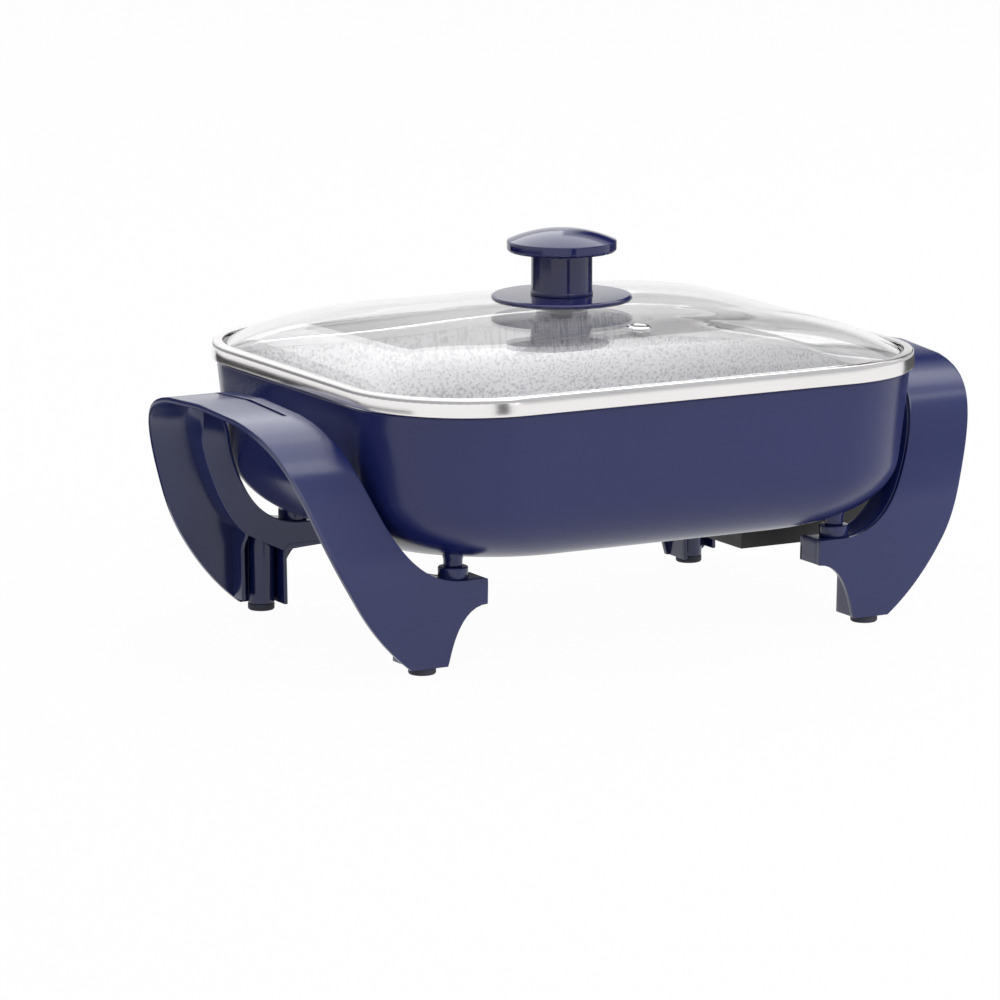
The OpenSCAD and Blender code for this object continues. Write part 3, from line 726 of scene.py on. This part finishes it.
def wall_depth(z):
    """How far the outer wall stands off the skin; it is shallower below the web."""
    share = min(max((z - SHALLOW_Z) / (DEEP_Z - SHALLOW_Z), 0.0), 1.0)
    return SHALLOW + (CHANNEL - SHALLOW) * share * share * (3 - 2 * share)


def wall_rows(line, depth_at, far_x=lambda x: x):
    """A wall that starts inside the skin and runs back from it, along a line of (x, z)."""
    rows = []
    for x, z in line:
        near, far = leg_y(z, ROOT_DEPTH), leg_y(z, depth_at(z), SOFT)
        rows.append([(x + (far_x(x) - x) * i / 5, near + (far - near) * i / 5, z) for i in range(6)])
    return rows


def below(line, z_top):
    return [p for p in line if p[1] <= z_top]


def outer_x(x):
    """The outer wall's free edge stands upright at its top."""
    return min(x, WALL_TOP_X)


def rim_line(in_line, z_top):
    """Down the pan side, round the hook and down the inside of the leg."""
    line = below(in_line, z_top)
    line += spread([(HOOK_ROOT_X, HOOK_Z), HOOK_TOP], 4)[1:]
    line += spread([HOOK_TOP, HOOK_TIP], 4)[1:]
    line += spread([HOOK_TIP, (RIB_X - 3.0, HOOK_LOW_Z)], 5)[1:]
    line += [(RIB_X - 0.6, HOOK_LOW_Z - 0.7), (RIB_X, RIB_TOP_Z)]
    return line + spread([(RIB_X, RIB_TOP_Z), (RIB_X, FOOT_H)], 8)[1:]


def web_rows(in_line, lean_line, z_top):
    """The inner web, from the pan side's wall across to the outer wall."""
    inner = spread(below(in_line, z_top) + [HOOK_TOP, HOOK_TIP], 70)
    outer = [(outer_x(x), z) for x, z in below(lean_line, z_top)]
    outer = spread(outer + [(LEG_WALL_X, KNEE_Z), WEB_TOE], 70)
    rows = []
    for (xa, za), (xb, zb) in zip(inner, outer):
        row = [(xa + (xb - xa) * i / 10, za + (zb - za) * i / 10) for i in range(11)]
        rows.append([(x, leg_y(z, CHANNEL, SOFT), z) for x, z in row])
    return rows


def make_leg():
    """The walls of one hollow leg, on the +Y side of the right handle."""
    in_line = curve(IN_EDGE, 60, turned=True)
    lean_line = curve(LEAN, 40, turned=True)
    finger_z = next(z for y, z in arch_line if y >= FINGER_Y)
    walls_z = finger_z - WALL_TOP_DROP
    rim = rim_line(in_line, walls_z)
    lean = below(lean_line, walls_z)
    lean += spread([(LEG_WALL_X, KNEE_Z), (LEG_WALL_X - 0.02, WALL_LOW_Z)], 12)[1:]
    boss = rounded([(0, FOOT_H), (BOSS_R, FOOT_H), (BOSS_R, BOSS_TOP_Z), (0, BOSS_TOP_Z)], 0.7)
    return joined("leg", [
        sheet_piece("rim wall", wall_rows(rim, lambda z: CHANNEL), RIB, 1),
        sheet_piece("outer wall", wall_rows(lean, wall_depth, outer_x), RIB, -1),
        sheet_piece("web", web_rows(in_line, lean_line, finger_z - SKIN), RIB, 1),
        lathe("boss", boss, [HANDLE_PLASTIC], (FOOT_X, FOOT_Y), 48)])


def mirrored(obj, axis):
    """The piece's mirror image, with its faces still pointing outwards."""
    verts = []
    for v in obj.data.vertices:
        point = list(v.co / MM)
        point[axis] = -point[axis]
        verts.append(tuple(point))
    faces = [tuple(reversed(f.vertices)) for f in obj.data.polygons]
    return piece(obj.name + "_mirrored", verts, faces, list(obj.data.materials))


# %% Both handles
leg = make_leg()
right = joined("handle_right_body", [make_skin(), mirrored(leg, 1), leg])
left = mirrored(right, 0)
left.name = "handle_left_body"
for handle, node in ((right, "handle_right"), (left, "handle_left")):
    sharpen(handle)
    place(handle, "base", "handle_blue", node)

# %% [markdown]
# ## The lid's band
# A strip of polished steel is rolled round the glass. It has an upright face that leans in a little, a
# lip folded over the glass above, and below it a ledge and a skirt that drops into the pan. The strip
# has one section all round: that is a rule, so Geometry Nodes make it. The section is drawn once,
# thickened, and a tree carries it along a rectangle with round corners. The sizes are inputs of the
# tree.

# %% Band
BAND_HALF_L, BAND_HALF_D, BAND_R = 153.6, 129.0, 64.0
BAND_LOW_Z, BAND_TOP_Z = 128.5, 137.3
BAND_T = 0.8
SKIRT_IN = 6.4
SKIRT_H = 3.5
BULGE = 0.35
TILT_IN = 0.9
LIP_W = 5.6
PLAN_STEP = 2.5
FACE_STEPS = 10


def thickened(line, t):
    """A closed outline round a line, half its thickness to each side."""
    left_side, right_side = [], []
    for i, point in enumerate(line):
        a, b = line[max(i - 1, 0)], line[min(i + 1, len(line) - 1)]
        d = Vector((b[0] - a[0], b[1] - a[1])).normalized() * t / 2
        left_side.append((point[0] - d.y, point[1] + d.x))
        right_side.append((point[0] + d.y, point[1] - d.x))
    return left_side + right_side[::-1]


def new_tree(name, inputs):
    """An empty Geometry Nodes tree with these inputs, and its input, finish and output nodes."""
    tree = bpy.data.node_groups.new(name, "GeometryNodeTree")
    for label, kind in inputs + [("Finish", "Material")]:
        tree.interface.new_socket(label, in_out="INPUT", socket_type="NodeSocket" + kind)
    tree.interface.new_socket("Geometry", in_out="OUTPUT", socket_type="NodeSocketGeometry")
    return [tree] + [tree.nodes.new(kind) for kind in (
        "NodeGroupInput", "GeometryNodeRealizeInstances", "GeometryNodeSetMaterial", "NodeGroupOutput")]


def link_all(tree, links):
    for source, out, target, into in links:
        tree.links.new(source.outputs[out], target.inputs[into])
    return tree


def strip_tree():
    tree, given, real, coat, result = new_tree("strip round a plan", [
        ("Length", "Float"), ("Depth", "Float"), ("Corner radius", "Float"), ("Step", "Float"),
        ("Section", "Object")])
    plan, corners, steps, part, outline, strip = [tree.nodes.new("GeometryNode" + kind) for kind in (
        "CurvePrimitiveQuadrilateral", "FilletCurve", "ResampleCurve", "ObjectInfo", "MeshToCurve",
        "CurveToMesh")]
    corners.mode = "POLY"
    corners.inputs["Count"].default_value = 90
    steps.mode = "LENGTH"
    return link_all(tree, [
        (given, "Length", plan, "Width"), (given, "Depth", plan, "Height"),
        (plan, "Curve", corners, "Curve"), (given, "Corner radius", corners, "Radius"),
        (corners, "Curve", steps, "Curve"), (given, "Step", steps, "Length"),
        (given, "Section", part, "Object"), (part, "Geometry", outline, "Mesh"),
        (steps, "Curve", strip, "Curve"), (outline, "Curve", strip, "Profile Curve"),
        (strip, "Mesh", real, "Geometry"), (real, "Geometry", coat, "Geometry"),
        (given, "Finish", coat, "Material"), (coat, "Geometry", result, "Geometry")])


def grown(name, tree, values):
    """A new object whose mesh is what a node tree makes of these values."""
    obj = new_object(name, bpy.data.meshes.new(name))
    nodes = obj.modifiers.new("nodes", "NODES")
    nodes.node_group = tree
    for item in tree.interface.items_tree:
        if item.in_out == "INPUT":
            nodes[item.identifier] = values[item.name]
    return smooth_all(bake(obj))


def make_band(outline):
    """Carries a closed outline of (inset, height) round the band's plan."""
    count = len(outline)
    loop = bpy.data.meshes.new("band section")
    loop.from_pydata([(-w * MM, -z * MM, 0) for w, z in outline],
                     [(i, (i + 1) % count) for i in range(count)], [])
    section_part = new_object("band section", loop)
    obj = grown("rim_band", strip_tree(), {
        "Length": 2 * BAND_HALF_L * MM, "Depth": 2 * BAND_HALF_D * MM, "Corner radius": BAND_R * MM,
        "Step": PLAN_STEP * MM, "Section": section_part, "Finish": BAND_STEEL})
    bpy.data.objects.remove(section_part)
    return obj


half_t = BAND_T / 2
face_h = BAND_TOP_Z - BAND_LOW_Z - BAND_T
skirt_w = SKIRT_IN + half_t
face = []
for k in range(FACE_STEPS + 1):
    down = k / FACE_STEPS
    face.append((half_t + BULGE * (1 - 2 * down) ** 2 + TILT_IN * (1 - down),
                 BAND_TOP_Z - half_t - face_h * down))
section = rounded([(LIP_W, BAND_TOP_Z - half_t)] + face
                  + [(skirt_w, BAND_LOW_Z + half_t), (skirt_w, BAND_LOW_Z - SKIRT_H)], 0.9, 5)
band = make_band(thickened(section, BAND_T))
sharpen(band)
place(band, "lid", "band_steel", "lid_band")

# %% [markdown]
# ## The glass dome
# The lid is one sheet of toughened glass, flat round its edge and swelling to a shallow dome. Its height
# over the plan follows one power of the distance from the middle, so rings at closer and closer shares
# of the plan describe both faces. A real thickness matters here, because the glass bends what is seen
# through it.

# %% Glass
GLASS_IN = 1.8
GLASS_T = 4.0
GLASS_EDGE_Z = 136.35
DOME_H = 18.5
DOME_POWER = 4.8
DOME_IN = 7.0
DOME_STEPS = 26
EDGE_R = 0.5
VENT = (5.6, -66.0)


def dome_z(share):
    """Height of the glass's upper face at a share of the way from the middle to the band's lip."""
    return GLASS_EDGE_Z + DOME_H * (1 - share ** DOME_POWER)


def make_glass():
    upper = []
    for i in range(DOME_STEPS):
        share = math.sin(math.pi / 2 * (DOME_STEPS - i) / DOME_STEPS)
        upper.append(ring(share * (BAND_HALF_L - DOME_IN), share * (BAND_HALF_D - DOME_IN),
                          share * (BAND_R - DOME_IN), dome_z(share)))
    lower = [[(x, y, z - GLASS_T) for x, y, z in points] for points in upper[::-1]]
    low_z = GLASS_EDGE_Z - GLASS_T
    edge_w = [(GLASS_IN + 0.3, low_z), (GLASS_IN, low_z + EDGE_R),
              (GLASS_IN, GLASS_EDGE_Z - EDGE_R), (GLASS_IN + 0.3, GLASS_EDGE_Z)]
    edge = [ring(BAND_HALF_L - w, BAND_HALF_D - w, BAND_R - w, z) for w, z in edge_w]
    verts, faces = loft(lower + edge + upper, cap_first=True, cap_last=True)
    return piece("glass_dome", verts, faces, [GLASS])


glass = make_glass()
sharpen(glass, 50)
place(glass, "lid", "lid_glass", "lid_glass")

# %% [markdown]
# ## The knob and the vent
# A flange keeps fingers off the glass, a stem lifts the hand, and a mushroom cap fills the palm. All
# three are turned mouldings with small round edges. The vent is a steel eyelet pressed through the
# glass. It leans with the dome, so it is turned upright first and then tilted in its points.

# %% Knob
FLANGE_Z, STEM_Z, CAP_Z = 158.948, 161.748, 183.348
BORE_R = 2.05
FLANGE_R = 35.0
STEM_R, STEM_WAIST_R = 15.45, 15.15
CAP_R, CAP_SIDE_H, CAP_RISE = 27.2, 5.2, 5.9

flange = lathe("knob_disc", rounded([
    (BORE_R, FLANGE_Z), (12.0, FLANGE_Z), (12.0, FLANGE_Z - 3.1), (12.6, FLANGE_Z - 3.1),
    (13.4, FLANGE_Z), (FLANGE_R - 0.8, FLANGE_Z + 0.15), (FLANGE_R, FLANGE_Z + 1.2),
    (FLANGE_R, STEM_Z - 0.7), (FLANGE_R - 1.1, STEM_Z), (BORE_R, STEM_Z)], 0.8), [KNOB_PLASTIC])
stem = lathe("knob_neck", rounded([
    (BORE_R, STEM_Z), (STEM_R, STEM_Z), (STEM_R, STEM_Z + 1.8), (STEM_WAIST_R, STEM_Z + 2.1),
    (STEM_WAIST_R, CAP_Z - 2.0), (STEM_R, CAP_Z), (BORE_R, CAP_Z)], 0.4), [KNOB_PLASTIC])


def cap_profile():
    """Half the section of the cap: a groove underneath, an upright side and a shallow crown."""
    r, side_z = CAP_R, CAP_Z + CAP_SIDE_H
    crown_r = (r * r + CAP_RISE * CAP_RISE) / (2 * CAP_RISE)
    profile = [(0, CAP_Z), (16.5, CAP_Z), (17.5, CAP_Z + 0.9), (24.8, CAP_Z + 0.9), (25.6, CAP_Z),
               (r - 0.9, CAP_Z), (r, CAP_Z + 1.0), (r, side_z - 0.4)]
    for i in range(1, 15):
        across = r * math.cos(math.pi / 2 * i / 15)
        profile.append((across, side_z + CAP_RISE - crown_r + math.sqrt(crown_r ** 2 - across ** 2)))
    return rounded(profile, 0.7) + [(0, side_z + CAP_RISE)]


cap = lathe("knob_crown", cap_profile(), [KNOB_PLASTIC], turns=96)
for obj, node in ((flange, "knob_flange"), (stem, "knob_stem"), (cap, "knob_cap")):
    sharpen(obj)
    place(obj, "lid", "handle_blue", node)


# %% Vent
def make_vent():
    outer, hole, neck = 6.15, 2.5, 3.7
    profile = rounded([(hole, -4.5), (hole, 0.9), (hole + 0.7, 1.25), (outer - 0.9, 1.25), (outer, 0.7),
                       (outer, 0.25), (neck, 0.25), (neck, -4.5)], 0.5)
    obj = lathe("steam_eyelet", profile, [CHROME], turns=48)
    share = abs(VENT[1]) / (BAND_HALF_D - DOME_IN)
    lean = math.atan(DOME_H * DOME_POWER * share ** (DOME_POWER - 1) / (BAND_HALF_D - DOME_IN))
    spot = Vector((VENT[0], VENT[1], dome_z(share))) * MM
    obj.data.transform(Matrix.Translation(spot) @ Matrix.Rotation(lean, 4, "X"))
    return obj


vent = make_vent()
sharpen(vent)
place(vent, "lid", "chrome", "vent_eyelet")

# %% [markdown]
# ## One of each, four times
# Feet, their screws, the spacers and the screws of the hooks all repeat at the four corners. Geometry
# Nodes do this with a grid of two by two points: one part is placed on each point, the copies are made
# real, and they get their finish. The distances and the part are inputs of the tree, so one tree serves
# all four kinds.

# %% Four corners
def corner_tree():
    tree, given, real, coat, result = new_tree("four corners", [
        ("Length apart", "Float"), ("Depth apart", "Float"), ("Part", "Object")])
    grid, part, copies = [tree.nodes.new("GeometryNode" + kind)
                          for kind in ("MeshGrid", "ObjectInfo", "InstanceOnPoints")]
    grid.inputs["Vertices X"].default_value = 2
    grid.inputs["Vertices Y"].default_value = 2
    return link_all(tree, [
        (given, "Length apart", grid, "Size X"), (given, "Depth apart", grid, "Size Y"),
        (given, "Part", part, "Object"), (grid, "Mesh", copies, "Points"),
        (part, "Geometry", copies, "Instance"), (copies, "Instances", real, "Geometry"),
        (real, "Geometry", coat, "Geometry"), (given, "Finish", coat, "Material"),
        (coat, "Geometry", result, "Geometry")])


CORNER_TREE = corner_tree()


def at_corners(name, part, half_l, half_d, slot, node):
    """Four real copies of a part, which stand for the four solids of that kind."""
    obj = grown(name, CORNER_TREE, {"Length apart": 2 * half_l * MM, "Depth apart": 2 * half_d * MM,
                                    "Part": part, "Finish": part.data.materials[0]})
    bpy.data.objects.remove(part)
    sharpen(obj)
    return place(obj, "base", slot, *[node + "_" + corner for corner, _, _ in CORNERS])


def screw(name, head_r, low, head_h, shank_r, shank_top):
    """A pan head screw seen from below, with a cross pressed into its head."""
    profile = [(0, low)] + [(r * head_r / 4, low) for r in (0.5, 1, 1.5, 2, 2.4)]
    profile += rounded([(0.72 * head_r, low), (head_r, low + 0.45 * head_h), (head_r, low + head_h),
                        (shank_r, low + head_h)], 0.4)
    profile += [(shank_r, shank_top - 0.6), (shank_r - 0.5, shank_top), (0, shank_top)]
    obj = lathe(name, profile, [SCREW_STEEL], turns=48)
    arm, reach = 0.16 * head_r * MM, 0.55 * head_r * MM
    for v in obj.data.vertices:
        in_cross = v.co.xy.length < reach and min(abs(v.co.x), abs(v.co.y)) < arm
        if in_cross and v.co.z < (low + 0.01) * MM:
            v.co.z += 0.4 * head_h * MM
    return obj


foot_profile = rounded([(3.5, 1.6), (3.5, 0.35), (3.9, 0), (4.6, 0), (4.75, 0.35), (5.25, 0.35),
                        (5.4, 0), (6.1, 0), (6.7, 0.7), (6.7, 3.5), (2.4, 3.5), (2.4, 7.4), (1.4, 7.4),
                        (1.4, 1.6)], 0.3)
foot = lathe("foot", foot_profile, [RUBBER], turns=64)
at_corners("rubber_feet", foot, FOOT_X, FOOT_Y, "foot_rubber", "foot")
foot_screw = screw("foot screw", 2.8, 0.4, 1.2, 1.3, 12.4)
at_corners("foot_fixings", foot_screw, FOOT_X, FOOT_Y, "steel", "foot_screw")

COLLAR_R = 7.3
collar_top = HOOK_Z + SPACER_H
collar = lathe("collar", rounded([(BORE_R, HOOK_Z), (COLLAR_R, HOOK_Z), (COLLAR_R, collar_top),
                                  (BORE_R, collar_top)], 0.7), [HANDLE_PLASTIC], turns=56)
at_corners("pan_collars", collar, STUD_X, STUD_Y, "handle_blue", "spacer")
hook_screw = screw("hook screw", 4.0, HOOK_LOW_Z - 2.4, 2.4, 2.0, 55.4)
at_corners("hook_fixings", hook_screw, STUD_X, STUD_Y, "steel", "handle_screw")

# %% [markdown]
# ## The parts under the pan
# Heater, spreader and pins hardly show. Their solids already have the right shape, so they keep their
# mesh and get a material. The socket block's front corner shows in the photograph, and a moulded block
# has no knife edges, so a copy of its mesh is cleaned and bevelled. The short edges in its bores hold
# this bevel back in the same way, so its edges stay nearly sharp.

# %% Socket block
def coat_mesh(mesh, material):
    mesh.materials.clear()
    mesh.materials.append(material)
    return mesh


def softened(name, node, width, material):
    """A copy of a solid with its edges broken by a small bevel."""
    obj = new_object(name, coat_mesh(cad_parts[node].data.copy(), material))
    weld = obj.modifiers.new("weld", "WELD")
    weld.merge_threshold = 0.01 * MM
    flat = obj.modifiers.new("flat", "DECIMATE")
    flat.decimate_type = "DISSOLVE"
    flat.angle_limit = math.radians(1)
    return sharpen(smooth_all(soften_edges(obj, width, 60)))


socket_block = softened("socket_block", "terminal_guard", 0.8, SOCKET_BLACK)
place(socket_block, "base", "socket_black", "terminal_guard")

# %% Finishes of the solids that stay
FINISHES = {ALUMINIUM: ["base_plate", "element_clip_front", "element_clip_back"],
            HEATER_STEEL: ["heating_element"],
            BRASS: ["terminal_pin_front", "terminal_pin_back", "knob_insert"],
            SCREW_STEEL: ["thermostat_sleeve", "earth_tab", "guard_screw_front", "guard_screw_back",
                          "knob_screw"],
            SILICONE: ["lid_seal", "knob_washer_top", "knob_washer_bottom"]}
for material, nodes in FINISHES.items():
    for node in nodes:
        coat_mesh(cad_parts[node].data, material)
print("solids kept:", sum(len(nodes) for nodes in FINISHES.values()))

# %% [markdown]
# ## Light, floor and backdrop
# The skillet was photographed on a white sweep under large softboxes. Three rectangular lamps stand for
# them: one behind, one overhead and one in front. The floor is a plain pale sheet that keeps the
# skillet's shadow. Camera, mirror and glass rays see the floor and the world as white, so the
# background is white without any more light on the skillet.

# %% Lamps
MIDDLE = (0, 0, 0.08)


def area_light(name, place_at, look_at, width, height, glow):
    """A rectangular softbox; glow is how bright its face looks, with 1 for paper white."""
    data = bpy.data.lights.new(name, "AREA")
    data.shape = "RECTANGLE"
    data.size, data.size_y = width, height
    data.energy = glow * math.pi * width * height
    lamp = new_object(name, data)
    lamp.location = place_at
    lamp.rotation_euler = (Vector(look_at) - Vector(place_at)).to_track_quat("-Z", "Y").to_euler()


def towards(azimuth, elevation, distance):
    """A place round the skillet; azimuth 0 is +X and 90 is +Y, in degrees."""
    a, e = math.radians(azimuth), math.radians(elevation)
    return (MIDDLE[0] + distance * math.cos(a) * math.cos(e),
            MIDDLE[1] + distance * math.sin(a) * math.cos(e), MIDDLE[2] + distance * math.sin(e))


area_light("back softbox", towards(52, 42, 2.2), MIDDLE, 2.4, 1.5, 1.35)
area_light("overhead softbox", towards(-80, 78, 2.0), MIDDLE, 2.4, 2.4, 1.2)
area_light("front softbox", towards(-55, 38, 2.6), MIDDLE, 3.0, 2.4, 1.08)


# %% Floor
FLOOR_HALF = 9000
FLOOR_WHITE = 0.97


def seen_directly(graph):
    """1 for rays from the camera, or seen in a mirror or through glass."""
    path = graph.tree.nodes.new("ShaderNodeLightPath")
    seen = Signal(graph, path.outputs["Is Camera Ray"])
    seen = seen.math("MAXIMUM", seen, Signal(graph, path.outputs["Is Glossy Ray"]))
    return seen.math("MAXIMUM", seen, Signal(graph, path.outputs["Is Transmission Ray"]))


def floor_paint():
    """Pale paint that camera, mirror and glass rays see as nearly white."""
    g = Graph("floor")
    white = g.glow((1, 1, 1, 1))
    g.finish(Base_Color=paint(225, 225, 226), Roughness=0.9)
    return g.surface(g.add("ShaderNodeMixShader", {}, {
        0: seen_directly(g) * FLOOR_WHITE, 1: Signal(g, g.shader.outputs[0]), 2: white}))


floor_corners = [(sx * FLOOR_HALF, sy * FLOOR_HALF, 0)
                 for sx, sy in ((-1, -1), (1, -1), (1, 1), (-1, 1))]
floor = piece("floor", floor_corners, [(0, 1, 2, 3)], [floor_paint()])

# %% [markdown]
# ## Dark cards
# On a white set a glossy thing loses its edges, because all that it mirrors is white. Photographers
# stand dark cards round it, which they call flags: the gloss shows them as crisp dark bands. Here they
# are sheets of a plain tone that only mirror rays see, so they take no light from the skillet and cast
# no shadow. One of them fades out at its edges, as a card far out of focus does.

# %% Cards
FLAG_AT = 0.72
FLAG_PARTS = 12


def card(name, verts, faces, grey, fade=None):
    """A dark card beside the set. Only reflections show it, as edges on the gloss.

    fade gives the heights where the card starts, is at its darkest, starts to end and has ended, and
    then the two places along X between which its far end grows dark, all in metres.
    """
    g = Graph(name)
    tone = (grey, grey, grey, 1)
    if fade:
        height = g.add("ShaderNodeSeparateXYZ", {}, {0: g.place}, 2)
        along = g.add("ShaderNodeSeparateXYZ", {}, {0: g.place}, 0)
        dark = g.between(fade[0], fade[1], height) * (1.0 - g.between(fade[2], fade[3], height))
        tone = 1.0 - (1.0 - grey) * (dark * g.between(fade[4], fade[5], along))
    obj = piece(name, verts, faces, [g.surface(g.glow(tone))], smooth=False)
    obj.visible_camera = False
    obj.visible_diffuse = False
    obj.visible_transmission = False
    obj.visible_shadow = False


def beside(azimuth, distance, z):
    """A place round the skillet in millimetres, at its own height over the floor."""
    x, y, _ = towards(azimuth, 0, distance)
    return x / MM, y / MM, z


def flag(name, azimuth, half_angle, low, high, grey, fade=None):
    """A card that stands on edge, bent round the set; low and high are its edges' heights."""
    n = FLAG_PARTS
    turns = [azimuth + half_angle * (2 * k / n - 1) for k in range(n + 1)]
    verts = [beside(turn, FLAG_AT, z) for z in (low, high) for turn in turns]
    card(name, verts, [(k, k + 1, k + n + 2, k + n + 1) for k in range(n)], grey, fade)


def floor_card(name, azimuth, half_angle, grey, near, far):
    """A card that lies just over the floor, between two distances."""
    corners = ((-1, near), (1, near), (1, far), (-1, far))
    verts = [beside(azimuth + side * half_angle, distance, 1.5) for side, distance in corners]
    card(name, verts, [(0, 1, 2, 3)], grey)


flag("flag back left", 127.5, 22.5, 2, 86, 0.02)
flag("flag left", 175, 25, 2, 75, 0.25)
flag("flag front", 265, 5, 2, 300, 0.1)
flag("flag front right", -50, 30, 210, 900, 0.55)
flag("flag right", 18, 20, 2, 240, 0.1)
flag("flag right strip", 29, 31, 240, 680, 0.0, (0.24, 0.36, 0.46, 0.68, 0.36, 0.43))
floor_card("floor back left", 127.5, 22.5, 0.02, 0.30, 0.64)
floor_card("floor right", 25.5, 27, 0.04, 0.35, 0.72)

# %% World, look and size
FILL = 0.5
world = bpy.data.worlds.new("studio")
world.use_nodes = True
bpy.context.scene.world = world


class WorldGraph(Graph):
    """The world's nodes, which have no surface shader."""

    def __init__(self, tree):
        self.tree = tree


sky = WorldGraph(world.node_tree)
background = world.node_tree.nodes["Background"]
seen = seen_directly(sky)
background.inputs["Color"].default_value = (1, 1, 1, 1)
sky.wire(background.inputs["Strength"], FILL + (1 - FILL) * seen)

bpy.context.scene.view_settings.view_transform = "Standard"
